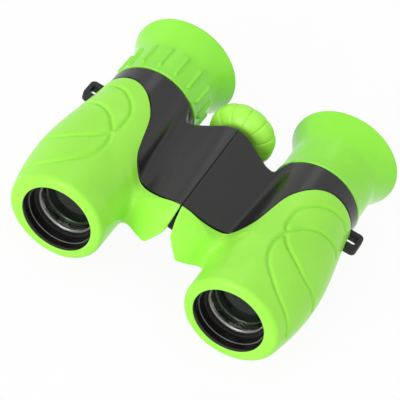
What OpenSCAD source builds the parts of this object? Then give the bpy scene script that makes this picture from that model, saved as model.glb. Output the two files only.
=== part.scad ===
// Toy binoculars: two rubber-armoured barrels on a single centre hinge, with a centre focus
// wheel, an adjustable right eyepiece and soft flared eyecups.
// X runs across the barrels, the objectives face -Y, +Z is up, and the eyecup rims stand on Z = 0.

/* [Overall] */
// Distance between the barrel axes with the hinge fully open
barrel_spacing = 64; // [60:0.5:70]
// Length from the objective lips to the eyecup rims
overall_length = 90; // [86:0.5:98]
// Height of the hinge axis above the barrel axes
hinge_rise = 5.9; // [5:0.1:7]

/* [Barrels] */
// Diameter of each objective opening
opening_d = 23.9; // [22.5:0.1:25]
// Depth of the mouth in front of the guide bore
mouth_depth = 4; // [3:0.1:4.3]
// Step from the mouth down to the guide bore
mouth_step = 0.35; // [0.2:0.05:0.6]
// Wall of the moulded shell round the mouth
shell_wall = 1.8; // [1.4:0.1:2.2]
// Diameter of the armoured barrel over its top
armour_d = 32.6; // [31.5:0.1:35]
// How far the grip swells outward past the round barrel
grip_swell = 4.4; // [2.5:0.1:5.5]
// Distance from the lip to the widest place of the grip
grip_setback = 24; // [18:0.5:28]
// How far the swell draws in again at the lip
lip_draw = 3.5; // [2:0.1:4]
// Rounding of the objective lip
lip_round = 2.2; // [1.2:0.1:2.6]
// Thickness of the rubber lip in front of the shell
lip_wall = 1.6; // [1:0.1:2.4]
// Step from the armour down to the bare shell
armour_step = 0.4; // [0.2:0.05:0.7]
// Armour thickness on the bridge
armour_skin = 1.8; // [1.4:0.1:2.2]

/* [Bridge] */
// Distance from the lip to the front foot of the bridge
nose_setback = 13.3; // [11:0.1:15]
// How far the front of the bridge leans back at its top
nose_lean = 7.7; // [6:0.1:9]
// How far the front is set back beside the barrels
valley_setback = 4.5; // [3:0.1:6]
// Height of the crown over the hinge axis at the front
crown_front_rise = 7.5; // [7.2:0.1:8.5]
// Height of the crown over the hinge axis at the rear
crown_rear_rise = 9.9; // [8.5:0.1:11]
// Bend radius of the crown at the front
crown_front_bend = 9; // [8:0.5:12]
// Bend radius of the crown at the rear
crown_rear_bend = 17; // [14:0.5:22]
// Depth of the flat underside below the barrel axes
bridge_depth = 3.7; // [3.4:0.1:4.5]
// Half width of the notch under the hinge, at the underside
notch_half = 5.7; // [5.2:0.1:6.5]
// Half width of the notch where it meets the seam
apex_half = 1.2; // [1.1:0.1:1.6]
// Width of the seam on top of the hinge
seam_gap = 0.6; // [0.5:0.1:1]
// Space between the bridge and the eyecups' front edge
bridge_gap = 3.8; // [3.2:0.1:5]
// How far the rear edge sweeps forward beside the hinge
tongue_depth = 4.2; // [2.5:0.1:5.5]
// Half width of that sweep
tongue_half = 11; // [9:0.5:13]

/* [Hinge] */
// Radius of the hinge knuckles
knuckle_r = 6; // [5.6:0.05:6.2]
// Share of the hinge that each front knuckle takes
front_knuckle_share = 0.131; // [0.11:0.001:0.15]
// Share of the hinge that each rear knuckle takes
rear_knuckle_share = 0.184; // [0.16:0.001:0.2]
// Diameter of the hinge screw
hinge_screw_d = 4.4; // [3.6:0.1:5]
// Diameter of the hinge screw's head
hinge_head_d = 6.4; // [5.8:0.1:7]
// Height of the hinge screw's head
hinge_head_h = 1.6; // [1.2:0.1:2]
// Outer diameter of the rear hinge bush
bush_d = 7.6; // [6.8:0.1:8.6]
// Thickness of the hinge washer
washer_h = 0.8; // [0.6:0.1:1]

/* [Focus] */
// Largest diameter of the focus wheel
wheel_d = 23.8; // [22:0.1:25]
// Length of the focus wheel
wheel_length = 7.9; // [6.5:0.1:9]
// Space between the bridge and the wheel
wheel_gap = 2.8; // [2.2:0.1:3.6]
// Number of lobes round the wheel
wheel_lobes = 12; // [10:1:16]
// Diameter of the focus screw
screw_d = 3.8; // [3.2:0.1:4.4]
// Share of its space in the hinge that the focus nut takes
nut_share = 0.52; // [0.44:0.01:0.58]
// Outer diameter of the focus nut
nut_d = 10.4; // [9.4:0.1:10.8]
// Diameter of the focus pins
pin_d = 2.2; // [1.8:0.1:2.6]
// Focus travel to either side of rest
focus_travel = 1.5; // [1:0.1:1.8]

/* [Optics] */
// Distance from the lip to the front of the objective cell
cell_setback = 6; // [5:0.1:8]
// Wall of the objective cell
cell_wall = 1; // [0.8:0.1:1.4]
// Edge thickness of the objective lens
objective_edge = 3; // [2.4:0.1:4]
// Bulge of the objective lens
objective_bulge = 1.1; // [0.6:0.1:1.4]
// Share of the room between objective and eyepiece that the prism cage takes
cage_share = 0.663; // [0.6:0.001:0.7]
// Edge thickness of the eyepiece lenses
ocular_edge = 2.4; // [2:0.1:3]
// Bulge of the eyepiece lenses
ocular_bulge = 0.8; // [0.5:0.1:1]
// Length of the spacer between the eyepiece lenses
spacer_length = 8; // [7:0.1:9]

/* [Eyepieces] */
// Diameter of the eyecup rims
rim_d = 39.4; // [38:0.1:41]
// Diameter of the eyecups at their front edge
cup_base_d = 32.4; // [31.6:0.1:34]
// Diameter of the eyecups at their waist
cup_waist_d = 31.4; // [30:0.1:32.4]
// Length of the eyecups
cup_length = 25; // [23:0.1:26.5]
// Thickness of the eyecups' rim
rim_wall = 2.8; // [2:0.1:3.4]
// Wall of the eyepiece tubes
tube_wall = 1.9; // [1.5:0.1:2.3]
// How far the eyepiece tubes reach into the eyecups
tube_reach = 16; // [15:0.1:17]
// Length of the ribbed diopter ring
diopter_length = 14.5; // [13:0.1:16]
// Height of the ribs on the diopter ring
rib_height = 0.9; // [0.5:0.1:1.2]
// Width of the ribs on the diopter ring
rib_width = 1.1; // [0.8:0.1:1.6]
// Length of the ribs on the diopter ring
rib_length = 11; // [9:0.1:12]
// Number of ribs round the diopter ring
rib_count = 16; // [12:1:24]
// Diopter travel to either side of rest
diopter_travel = 1.2; // [0.8:0.1:1.4]

/* [Strap lugs] */
// How far the lugs stand out from the barrel axis
lug_reach = 21.1; // [20.5:0.1:23]
// Length of the lugs along the barrel
lug_length = 7.8; // [7:0.1:9]
// Thickness of the lugs from top to bottom
lug_thickness = 2.8; // [2.2:0.1:3.4]
// Distance from the eyecups' front edge to the middle of the lugs
lug_setback = 8; // [7.4:0.1:8.6]
// Width of the strap slot, outwards from the barrel
slot_width = 3.2; // [2.4:0.1:3.4]
// Length of the strap slot along the barrel
slot_length = 3.4; // [2.8:0.1:4]
// Thickness of the bar outside the slot
lug_bar = 1.6; // [1.4:0.1:2]

/* [Clearances] */
// Radial play of running fits
run_fit = 0.06; // [0.04:0.01:0.08]
// Play between pieces that are fixed together
seat_fit = 0.05; // [0.03:0.01:0.08]
// Gap between pieces that move past each other
move_gap = 0.3; // [0.25:0.05:0.5]

/* [Hidden] */
// Overrun of every cut past the face it opens
cut_over = 1;

axis_z = rim_d / 2;
half_spacing = barrel_spacing / 2;
front_y = -overall_length / 2;
rear_y = overall_length / 2;
cup_y = rear_y - cup_length;
mouth_r = opening_d / 2;
guide_r = mouth_r - mouth_step;
shell_r = mouth_r + shell_wall;
armour_r = armour_d / 2;

// Stations of the bridge and of the hinge stack, front to rear
nose_y = front_y + nose_setback;
crown_y = nose_y + nose_lean;
bridge_rear_y = cup_y - bridge_gap;
knuckle_setback = 0.4;
knuckle_rear_setback = 1.7;
knuckle_a_y = crown_y + knuckle_setback;
hinge_rear_y = bridge_rear_y - knuckle_rear_setback;
front_knuckle = (hinge_rear_y - knuckle_a_y) * front_knuckle_share;
rear_knuckle = (hinge_rear_y - knuckle_a_y) * rear_knuckle_share;
knuckle_b_y = knuckle_a_y + front_knuckle + move_gap;
nut_space_y = knuckle_b_y + front_knuckle;
knuckle_d_y = hinge_rear_y - rear_knuckle;
knuckle_c_y = knuckle_d_y - move_gap - rear_knuckle;
nut_length = (knuckle_c_y - nut_space_y) * nut_share;
pin_y = (nut_space_y + knuckle_c_y) / 2;
relief_r = knuckle_r + move_gap;
knuckle_a = [knuckle_a_y, knuckle_a_y + front_knuckle];
knuckle_b = [knuckle_b_y, knuckle_b_y + front_knuckle];
knuckle_c = [knuckle_c_y, knuckle_c_y + rear_knuckle];
knuckle_d = [knuckle_d_y, knuckle_d_y + rear_knuckle];

// The line from the barrel axis to the hinge axis, which the focus pin follows
pin_tilt = atan2(hinge_rise, half_spacing);
arm_length = sqrt(half_spacing * half_spacing + hinge_rise * hinge_rise);

// Stations along the optics
cell_r = guide_r - run_fit;
cell_y = front_y + cell_setback;
pin_margin = 3;
cell_rear_y = pin_y + pin_margin;
lens_seat_setback = 3.2;
objective_r = cell_r - cell_wall;
objective_y = cell_y + lens_seat_setback;
objective_lip_share = 0.9;
tube_seat_r = guide_r - seat_fit;
diopter_wall = 3.6;
tube_r = cup_waist_d / 2 - diopter_wall;
tube_bore_r = min(tube_seat_r, tube_r) - tube_wall;
tube_rear_y = cup_y + tube_reach;
ocular_r = tube_bore_r - run_fit;
ocular_wall = 1.3;
ocular_lens_r = ocular_r - ocular_wall;
ocular_ring_h = 1.6;
ocular_lip_h = 1;
ocular_lip_share = 0.86;
ocular_length = ocular_lip_h + 2 * ocular_edge + spacer_length + ocular_ring_h;
ocular_y = tube_rear_y - diopter_travel - move_gap - ocular_length;
field_lens_y = ocular_y + ocular_lip_h;
spacer_y = field_lens_y + ocular_edge;
eye_lens_y = spacer_y + spacer_length;
ocular_ring_y = eye_lens_y + ocular_edge;
stop_y = ocular_y - diopter_travel - move_gap;
stop_share = 0.88;
cage_end_gap = 0.8;
cage_y = cell_rear_y + focus_travel + cage_end_gap;
cage_length = (stop_y - cage_y) * cage_share;
cage_rear_y = cage_y + cage_length;

// Prism outlines as shares of the cage length and of half the prism height
prism_width_share = 1.24;
prism_side = guide_r * prism_width_share;
half_prism_shares = [[0.02, -1], [0.02, 1], [0.3, 1], [0.62, -1]];
roof_prism_shares = [[0.66, -1], [0.34, 1], [0.8, 1], [0.98, 0.55], [0.98, -1]];
roof_tilt = 45;
roof_ridge_share = 0.72;

// Wheel, screw and nut
wheel_y = bridge_rear_y + wheel_gap;
wheel_rear_y = wheel_y + wheel_length;
wheel_crown_share = 0.1;
wheel_groove_share = 0.075;
wheel_hub_share = 0.42;
wheel_cap_share = 0.45;
wheel_cap_h = 1;
hub_y = hinge_rear_y + washer_h + move_gap;
screw_r = screw_d / 2;
bush_r = bush_d / 2;
nut_groove_wall = 1.6;
nut_groove_r = screw_r + nut_groove_wall;
nut_groove_play = 0.12;
nut_groove_width = pin_d + 2 * nut_groove_play;
sleeve_wall = 0.5;
sleeve_window_angles = [-66, 14];

// Armour edge seen from above: shares of the half spacing and of the half length
armour_edge_shares = [
    [-0.1, -0.535], [0, -0.532], [0.2, -0.5], [0.4, -0.437], [0.56, -0.375], [0.66, -0.31],
    [0.73, -0.18], [0.785, 0], [0.88, 0.125], [1.02, 0.21], [1.2, 0.28], [1.42, 0.312],
    [1.7, 0.318], [2, 0.318]
];
edge_steps = 3;
edge_play = 0.1;

// Shape of the bridge
valley_overlap = 0.8;
valley_x = half_spacing - armour_r + valley_overlap;
buried_x = half_spacing - guide_r;
apex_rise = 2.2;
valley_front_drop = 8.4;
valley_rear_drop = 6;
nose_curve_share = 0.52;
nose_skin_share = 1.4;
front_bend_half = 4.6;
rear_bend_half = 7.6;
crown_steps = 4;

// Underside covers
cover_rim = 2.4;
cover_x = notch_half + cover_rim;
cover_length = 10.5;
cover_h = 1.5;
cover_width = 7;
cover_screw_d = 1.6;
cover_head_d = 2.8;
cover_head_h = 0.8;
cover_screw_depth = 3.6;
cover_screw_inset = 1.7;

facets = 96;
small_facets = 48;
lens_facets = 720;
profile_steps = 24;
cup_steps = 16;

rubber_green = "#9BEB55";
moulded_black = "#3C3C38";
inner_black = "#242424";
lens_tint = "#9FC4B4";
prism_tint = "#C9DCE4";
steel_grey = "#A9ADB0";
brass_yellow = "#C6A664";

// Placing helpers

// Lifts a half to its height; the right half is the mirror image of the left
module half(side) {
    translate([0, 0, axis_z]) {
        if (side < 0) mirror([1, 0, 0]) children();
        else children();
    }
}

module on_barrel() {
    translate([half_spacing, 0, 0]) children();
}

module on_hinge() {
    translate([0, 0, hinge_rise]) children();
}

// Turns a profile of [radius, y] points about the Y axis
module turned(profile, sides = facets) {
    rotate([-90, 0, 0]) rotate_extrude($fn = sides) polygon(profile);
}

module rod(radius, y0, y1, sides = facets) {
    translate([0, y0, 0]) rotate([-90, 0, 0]) cylinder(r = radius, h = y1 - y0, $fn = sides);
}

module pipe(outer, inner, y0, y1, sides = facets) {
    turned([[inner, y0], [outer, y0], [outer, y1], [inner, y1]], sides);
}

// A box between two corners
module block(low, high) {
    translate(low) cube(high - low);
}

// Armour outlines

// How much a rounded lip takes off the radius at a distance d behind the lip
function lip_cut(d) =
    d >= lip_round ? 0 : lip_round - sqrt(lip_round * lip_round - pow(lip_round - d, 2));

// How far the swell has drawn in at a station y
function swell_drop(y) =
    let (middle = front_y + grip_setback)
    y < middle ? lip_draw * pow((middle - y) / grip_setback, 2)
               : grip_swell * (1 - cos(180 * min(1, (y - middle) / (cup_y - middle)))) / 2;

// Stations from the lip to the eyecup, closer together at the rounded lip
function armour_stations() = concat(
    [for (k = [0 : cup_steps / 4]) front_y + lip_round * (1 - cos(90 * k / (cup_steps / 4)))],
    [for (k = [1 : profile_steps]) front_y + lip_round
        + (cup_y - front_y - lip_round) * k / profile_steps]
);

function armour_profile() = concat(
    [[0, front_y]],
    [for (y = armour_stations()) [armour_r - lip_cut(y - front_y), y]],
    [[0, cup_y]]
);

function swell_profile() = concat(
    [[0, front_y]],
    [for (y = armour_stations()) [armour_r - swell_drop(y) - lip_cut(y - front_y), y]],
    [[0, cup_y]]
);

// Point on a smooth curve through b and c, with a and d as its neighbours
function curve_point(a, b, c, d, t) =
    b + (c - a) * t / 2 + (2 * a - 5 * b + 4 * c - d) * t * t / 2
    + (3 * b - a - 3 * c + d) * t * t * t / 2;

function edge_control(k) = [
    armour_edge_shares[k][0] * half_spacing,
    armour_edge_shares[k][1] * overall_length / 2
];

function armour_edge() = [
    for (k = [1 : len(armour_edge_shares) - 3], s = [0 : edge_steps - 1])
        curve_point(edge_control(k - 1), edge_control(k), edge_control(k + 1),
                    edge_control(k + 2), s / edge_steps)
];

// Everything in front of the armour's rear edge, or behind it
module edge_side(front, play) {
    edge = armour_edge();
    last = edge[len(edge) - 1];
    far_x = half_spacing + 2 * armour_r;
    far_y = front ? 2 * front_y : 2 * rear_y;
    translate([0, play, -2 * axis_z]) linear_extrude(4 * axis_z)
        polygon(concat([[-armour_r, far_y], [-armour_r, edge[0][1]]], edge,
                       [[far_x, last[1]], [far_x, far_y]]));
}

// Bridge

// Outline of the bridge across the barrels: notch, seam, crown, slope and underside
function bridge_section(rise, bend, bend_half, drop, inset) =
    let (top = hinge_rise + rise - inset, floor_z = inset - bridge_depth,
         seam = seam_gap / 2 + inset, valley_z = hinge_rise + rise - drop - inset)
    concat(
        [[notch_half + inset, floor_z], [apex_half + inset, hinge_rise - apex_rise]],
        [for (k = [0 : crown_steps])
            let (x = seam + (bend_half - seam) * k / crown_steps)
            [x, top - bend + sqrt(bend * bend - x * x)]],
        [[valley_x, valley_z], [buried_x, valley_z], [buried_x, floor_z]]
    );

// Lean and set-back of the bridge's front at a point of its outline
function nose_point(p, inset) =
    let (height = crown_front_rise + hinge_rise + bridge_depth,
         s = (p[1] + bridge_depth) / height,
         side = max(0, (p[0] - notch_half) / (valley_x - notch_half)))
    [p[0],
     nose_y + inset * nose_skin_share + valley_setback * min(1, side)
        + nose_lean * (s * (1 - nose_curve_share) + s * s * nose_curve_share),
     p[1]];

// Sweep of the bridge's rear edge at a point of its outline
function tail_point(p, inset) =
    [p[0], bridge_rear_y - inset - tongue_depth * pow(min(1, p[0] / tongue_half), 2), p[1]];

function middle(points) = points * [for (p = points) 1] / len(points);
function column_mean(points, k) = middle([for (p = points) p[k]]);
function centre(points) = [for (k = [0 : 2]) column_mean(points, k)];

// A solid between two rings of points, closed by a fan at each end
module bridge(inset) {
    front = [for (p = bridge_section(crown_front_rise, crown_front_bend, front_bend_half,
                                     valley_front_drop, inset)) nose_point(p, inset)];
    rear = [for (p = bridge_section(crown_rear_rise, crown_rear_bend, rear_bend_half,
                                    valley_rear_drop, inset)) tail_point(p, inset)];
    n = len(front);
    polyhedron(
        points = concat(front, rear, [centre(front), centre(rear)]),
        faces = [for (k = [0 : n - 1]) let (m = (k + 1) % n)
            each [[m, k, n + m], [n + m, k, n + k], [k, m, 2 * n], [n + m, n + k, 2 * n + 1]]]
    );
}

// Hinge

module knuckles(ranges, radius, gap) {
    on_hinge() for (range = ranges) rod(radius, range[0] - gap, range[1] + gap);
}

// Room round the hinge screw's head, and behind the last knuckle
module hinge_end_cuts() {
    on_hinge() {
        rod(hinge_head_d / 2 + move_gap, knuckle_a_y - hinge_head_h - 2 * move_gap, knuckle_a_y);
        rod(relief_r, hinge_rear_y, bridge_rear_y + cut_over);
    }
}

// Follows the line from the barrel axis towards the hinge axis
module along_pin() {
    on_barrel() translate([0, pin_y, 0]) rotate([0, pin_tilt, 0]) rotate([0, -90, 0]) children();
}

// Slot that the focus pin travels in
module pin_slot() {
    half_w = pin_d / 2 + move_gap;
    half_l = half_w + focus_travel + move_gap;
    along_pin() block([-half_w, -half_l, guide_r - shell_wall], [half_w, half_l, arm_length]);
}

// Shells

module cover_seat(play, low, high) {
    block([cover_x - play, pin_y - cover_length / 2 - play, low],
          [cover_x + cover_width + play, pin_y + cover_length / 2 + play, high]);
}

// Places of the two screws of a bridge cover
module at_cover_screws() {
    for (end = [-1, 1])
        translate([cover_x + cover_width / 2,
                   pin_y + end * (cover_length / 2 - cover_screw_inset), -bridge_depth]) children();
}

module shell(own, other) {
    color(moulded_black) difference() {
        union() {
            on_barrel() rod(shell_r, front_y + lip_wall, cup_y - seat_fit);
            intersection() {
                union() {
                    on_barrel() rod(armour_r - armour_step, nose_y, cup_y - seat_fit);
                    bridge(armour_step);
                }
                edge_side(false, edge_play);
            }
            bridge(armour_skin);
            knuckles(own, knuckle_r, 0);
        }
        on_barrel() rod(guide_r, front_y - cut_over, rear_y);
        on_barrel() rod(mouth_r, front_y - cut_over, front_y + mouth_depth);
        knuckles(other, relief_r, move_gap);
        hinge_end_cuts();
        pin_slot();
        cover_seat(seat_fit, -bridge_depth - cut_over, armour_step + cover_h - bridge_depth);
        at_cover_screws() cylinder(d = cover_screw_d, h = cover_screw_depth, $fn = small_facets);
        strap_lug_solid(seat_fit);
        children();
    }
}

// The left shell carries the hinge screw, the sleeve and the bush
module left_shell() {
    half(1) shell([knuckle_b, knuckle_c], [knuckle_a, knuckle_d]) {
        on_hinge() rod(hinge_screw_d / 2, knuckle_b[0] - cut_over, knuckle_b[1] + cut_over);
        on_hinge() rod(bush_r, knuckle_c[0] - cut_over, knuckle_c[1] + cut_over);
        on_hinge() rod(knuckle_r + seat_fit, nut_space_y, knuckle_c_y);
    }
}

// The right shell turns on the hinge screw and on the bush
module right_shell() {
    half(-1) shell([knuckle_a, knuckle_d], [[knuckle_b[0], knuckle_c[1]]]) {
        on_hinge() rod(hinge_screw_d / 2 - seat_fit + run_fit, knuckle_a[0] - cut_over,
                       knuckle_a[1] + cut_over);
        on_hinge() rod(bush_r - seat_fit + run_fit, knuckle_d[0] - cut_over,
                       knuckle_d[1] + cut_over);
    }
}

// Rubber armour over the front, the grip and the nose of the bridge
module armour() {
    color(rubber_green) difference() {
        intersection() {
            union() {
                on_barrel() turned(armour_profile());
                on_barrel() translate([grip_swell, 0, 0]) turned(swell_profile());
                bridge(0);
            }
            edge_side(true, 0);
        }
        on_barrel() rod(mouth_r, front_y - cut_over, front_y + lip_wall + cut_over);
        on_barrel() rod(shell_r + seat_fit, front_y + lip_wall - seat_fit, rear_y);
        bridge(armour_skin - seat_fit);
        knuckles([[knuckle_a[0], bridge_rear_y]], relief_r, move_gap);
        hinge_end_cuts();
        strap_lug_solid(seat_fit);
    }
}

module left_armour() { half(1) armour(); }
module right_armour() { half(-1) armour(); }

// Strap lugs, seated in a pocket of the shell and passing through the armour

lug_root_share = 0.5;
lug_corner_share = 0.3;

module strap_lug_solid(play) {
    lug_y = cup_y - lug_setback;
    root_x = mouth_r + shell_wall * lug_root_share;
    corner = lug_length * lug_corner_share;
    half = lug_length / 2 + play;
    on_barrel() translate([0, lug_y, -lug_thickness / 2 - play])
        linear_extrude(lug_thickness + 2 * play) {
            translate([root_x - play, -half])
                square([lug_reach - corner - root_x + play, 2 * half]);
            translate([root_x, corner - half])
                square([lug_reach + play - root_x, 2 * (half - corner)]);
            for (end = [-1, 1]) translate([lug_reach - corner, end * (half - corner)])
                circle(r = corner + play, $fn = small_facets);
        }
}

module strap_lug() {
    slot_x = lug_reach - lug_bar - slot_width;
    lug_y = cup_y - lug_setback;
    color(moulded_black) difference() {
        strap_lug_solid(0);
        on_barrel() block([slot_x, lug_y - slot_length / 2, -lug_thickness],
                          [slot_x + slot_width, lug_y + slot_length / 2, lug_thickness]);
    }
}

module left_strap_lug() { half(1) strap_lug(); }
module right_strap_lug() { half(-1) strap_lug(); }

// Underside covers that close the pocket over the focus pins

module bridge_cover() {
    color(moulded_black) difference() {
        cover_seat(0, armour_step - bridge_depth, armour_step + cover_h - seat_fit - bridge_depth);
        at_cover_screws() {
            cylinder(d = cover_screw_d + 2 * seat_fit, h = cover_screw_depth, $fn = small_facets);
            cylinder(d = cover_head_d + 2 * seat_fit, h = armour_step + cover_head_h,
                     $fn = small_facets);
        }
    }
}

module bridge_screws() {
    color(steel_grey) at_cover_screws() translate([0, 0, armour_step]) {
        cylinder(d = cover_head_d, h = cover_head_h - seat_fit, $fn = small_facets);
        cylinder(d = cover_screw_d - 2 * seat_fit, h = cover_screw_depth - armour_step - seat_fit,
                 $fn = small_facets);
    }
}

module left_bridge_cover() { half(1) bridge_cover(); }
module right_bridge_cover() { half(-1) bridge_cover(); }
module left_bridge_screws() { half(1) bridge_screws(); }
module right_bridge_screws() { half(-1) bridge_screws(); }

// Optics

// A lens with a flat rim where it is held, and a bulge on each side inside that rim
module lens(radius, clear_r, edge, bulge, y0) {
    ball = (clear_r * clear_r + bulge * bulge) / (2 * bulge);
    translate([0, y0, 0]) rotate([-90, 0, 0]) rotate_extrude($fn = facets) {
        square([radius, edge]);
        intersection() {
            translate([0, -bulge]) square([clear_r, edge + 2 * bulge]);
            translate([0, ball - bulge]) circle(r = ball, $fn = lens_facets);
            translate([0, edge + bulge - ball]) circle(r = ball, $fn = lens_facets);
        }
    }
}

// Long tube that slides in the barrel and carries the objective lens
module objective_cell() {
    lip_r = objective_r * objective_lip_share;
    color(inner_black) on_barrel() difference() {
        turned([
            [objective_r, cell_y], [cell_r, cell_y], [cell_r, cell_rear_y],
            [objective_r, cell_rear_y], [objective_r, objective_y + objective_edge + cell_wall],
            [lip_r, objective_y + objective_edge + cell_wall],
            [lip_r, objective_y + objective_edge], [objective_r, objective_y + objective_edge]
        ]);
        translate([0, pin_y, 0]) rotate([0, pin_tilt, 0]) rotate([0, -90, 0])
            cylinder(d = pin_d, h = arm_length, $fn = small_facets);
    }
}

module objective_lens() {
    color(lens_tint) on_barrel()
        lens(objective_r - seat_fit, objective_r * objective_lip_share - seat_fit,
             objective_edge - seat_fit, objective_bulge, objective_y);
}

module objective_ring() {
    outer = objective_r - seat_fit;
    lip_r = objective_r * objective_lip_share;
    color(steel_grey) on_barrel()
        turned([[lip_r, objective_y - seat_fit], [outer, objective_y - seat_fit],
                [outer, cell_y + cell_wall], [lip_r + cell_wall / 2, cell_y + cell_wall]]);
}

module focus_pin() {
    color(steel_grey) along_pin() translate([0, 0, objective_r])
        cylinder(d = pin_d - 2 * seat_fit, h = arm_length - objective_r - nut_groove_r - move_gap,
                 $fn = small_facets);
}

module prism_cage() {
    half_side = prism_side / 2;
    color(inner_black) on_barrel() difference() {
        rod(tube_seat_r, cage_y, cage_rear_y - seat_fit);
        block([-half_side, cage_y - cut_over, -half_side],
              [half_side, cage_rear_y + cut_over, half_side]);
    }
}

// A prism with its side outline extruded across the cage
module prism(outline_shares) {
    half_side = prism_side / 2 - seat_fit;
    translate([-half_side, 0, 0]) rotate([90, 0, 90]) linear_extrude(2 * half_side)
        polygon([for (p = outline_shares) [cage_y + p[0] * cage_length, p[1] * half_side]]);
}

module half_prism() {
    color(prism_tint) on_barrel() prism(half_prism_shares);
}

// The second prism has a roof ground on its top
module roof_prism() {
    ridge = prism_side * roof_ridge_share;
    color(prism_tint) on_barrel() intersection() {
        prism(roof_prism_shares);
        rotate([0, roof_tilt, 0]) block([-ridge, cage_y, -ridge], [ridge, cage_rear_y, ridge]);
    }
}

// Tube that carries the eyepiece: its front part seats in the shell, its rear part carries the
// eyecup, and a stop ring stands in front of the sliding cell
module eyepiece_tube() {
    color(inner_black) on_barrel() turned([
        [tube_bore_r * stop_share, cage_rear_y], [tube_seat_r, cage_rear_y], [tube_seat_r, cup_y],
        [tube_r, cup_y], [tube_r, tube_rear_y], [tube_bore_r, tube_rear_y], [tube_bore_r, stop_y], [tube_bore_r * stop_share, stop_y]
    ]);
}

module ocular_cell() {
    lip_r = ocular_lens_r * ocular_lip_share;
    color(inner_black) on_barrel() turned([
        [lip_r, ocular_y], [ocular_r, ocular_y], [ocular_r, ocular_y + ocular_length],
        [ocular_lens_r, ocular_y + ocular_length], [ocular_lens_r, field_lens_y],
        [lip_r, field_lens_y]
    ]);
}

module field_lens() {
    color(lens_tint) on_barrel()
        lens(ocular_lens_r - seat_fit, ocular_lens_r * ocular_lip_share - seat_fit,
             ocular_edge - seat_fit, ocular_bulge, field_lens_y + seat_fit);
}

module lens_spacer() {
    color(inner_black) on_barrel() pipe(ocular_lens_r - seat_fit, ocular_lens_r * ocular_lip_share,
                                        spacer_y + seat_fit, eye_lens_y - seat_fit);
}

module eye_lens() {
    color(lens_tint) on_barrel()
        lens(ocular_lens_r - seat_fit, ocular_lens_r * ocular_lip_share - seat_fit,
             ocular_edge - seat_fit, ocular_bulge, eye_lens_y);
}

module ocular_ring() {
    color(inner_black) on_barrel() pipe(ocular_lens_r - seat_fit, ocular_lens_r * ocular_lip_share,
                                        ocular_ring_y, ocular_ring_y + ocular_ring_h);
}

module left_objective_cell() { half(1) objective_cell(); }
module left_objective_lens() { half(1) objective_lens(); }
module left_objective_ring() { half(1) objective_ring(); }
module left_focus_pin() { half(1) focus_pin(); }
module left_prism_cage() { half(1) prism_cage(); }
module left_half_prism() { half(1) half_prism(); }
module left_roof_prism() { half(1) roof_prism(); }
module left_eyepiece_tube() { half(1) eyepiece_tube(); }
module left_ocular_cell() { half(1) ocular_cell(); }
module left_field_lens() { half(1) field_lens(); }
module left_lens_spacer() { half(1) lens_spacer(); }
module left_eye_lens() { half(1) eye_lens(); }
module left_ocular_ring() { half(1) ocular_ring(); }
module right_objective_cell() { half(-1) objective_cell(); }
module right_objective_lens() { half(-1) objective_lens(); }
module right_objective_ring() { half(-1) objective_ring(); }
module right_focus_pin() { half(-1) focus_pin(); }
module right_prism_cage() { half(-1) prism_cage(); }
module right_half_prism() { half(-1) half_prism(); }
module right_roof_prism() { half(-1) roof_prism(); }
module right_eyepiece_tube() { half(-1) eyepiece_tube(); }
module right_ocular_cell() { half(-1) ocular_cell(); }
module right_field_lens() { half(-1) field_lens(); }
module right_lens_spacer() { half(-1) lens_spacer(); }
module right_eye_lens() { half(-1) eye_lens(); }
module right_ocular_ring() { half(-1) ocular_ring(); }

// Eyecups and the diopter ring

cup_waist_share = 0.26;
cup_shelf_h = 1.2;
rib_inset = 0.6;

function smooth(t) = t * t * (3 - 2 * t);

// Outer radius of an eyecup at a share t of its length: base, waist, then the flare
function cup_r(t) =
    t < cup_waist_share
    ? (cup_base_d + (cup_waist_d - cup_base_d) * smooth(t / cup_waist_share)) / 2
    : (cup_waist_d + (rim_d - cup_waist_d)
       * smooth(pow((t - cup_waist_share) / (1 - cup_waist_share), 2))) / 2;

// Outer line of the cup between two shares of its length
function cup_outside(from, to) = [
    for (k = [0 : cup_steps]) let (t = from + (to - from) * k / cup_steps)
        [cup_r(t), cup_y + t * cup_length]
];

// Inner line of the flare, from the rim down to the shelf over the eyepiece tube
function cup_inside() =
    let (shelf_t = (tube_reach + cup_shelf_h) / cup_length)
    [for (k = [0 : cup_steps]) let (t = 1 - (1 - shelf_t) * k / cup_steps)
        [cup_r(t) - rim_wall, cup_y + t * cup_length]];

module eyecup(from, play) {
    shelf_y = tube_rear_y + cup_shelf_h;
    color(rubber_green) on_barrel() turned(concat(
        cup_outside(from, 1), cup_inside(),
        [[tube_bore_r, shelf_y], [tube_bore_r, tube_rear_y + move_gap],
         [tube_r + play, tube_rear_y + move_gap], [tube_r + play, cup_y + from * cup_length]]
    ));
}

module left_eyecup() { half(1) eyecup(0, seat_fit); }
module right_eyecup() { half(-1) eyecup((diopter_length + seat_fit) / cup_length, run_fit); }

// Ribbed ring that turns on the right eyepiece tube
module diopter_ring() {
    rib_y = cup_y + diopter_length - rib_length - rib_inset;
    root_r = cup_waist_d / 2 - rib_height;
    color(rubber_green) half(-1) on_barrel() {
        turned(concat(
            cup_outside(move_gap / cup_length, diopter_length / cup_length),
            [[tube_r + run_fit, cup_y + diopter_length], [tube_r + run_fit, cup_y + move_gap]]
        ));
        for (k = [0 : rib_count - 1]) rotate([0, 360 * (k + 1 / 2) / rib_count, 0])
            block([-rib_width / 2, rib_y, root_r],
                  [rib_width / 2, rib_y + rib_length, cup_waist_d / 2 + rib_height]);
    }
}

// Hinge hardware

module hinge_screw() {
    color(steel_grey) half(1) on_hinge() {
        rod(hinge_head_d / 2, knuckle_a_y - hinge_head_h - move_gap, knuckle_a_y - move_gap,
            small_facets);
        rod(hinge_screw_d / 2 - seat_fit, knuckle_a_y - hinge_head_h, knuckle_b[1], small_facets);
    }
}

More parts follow.
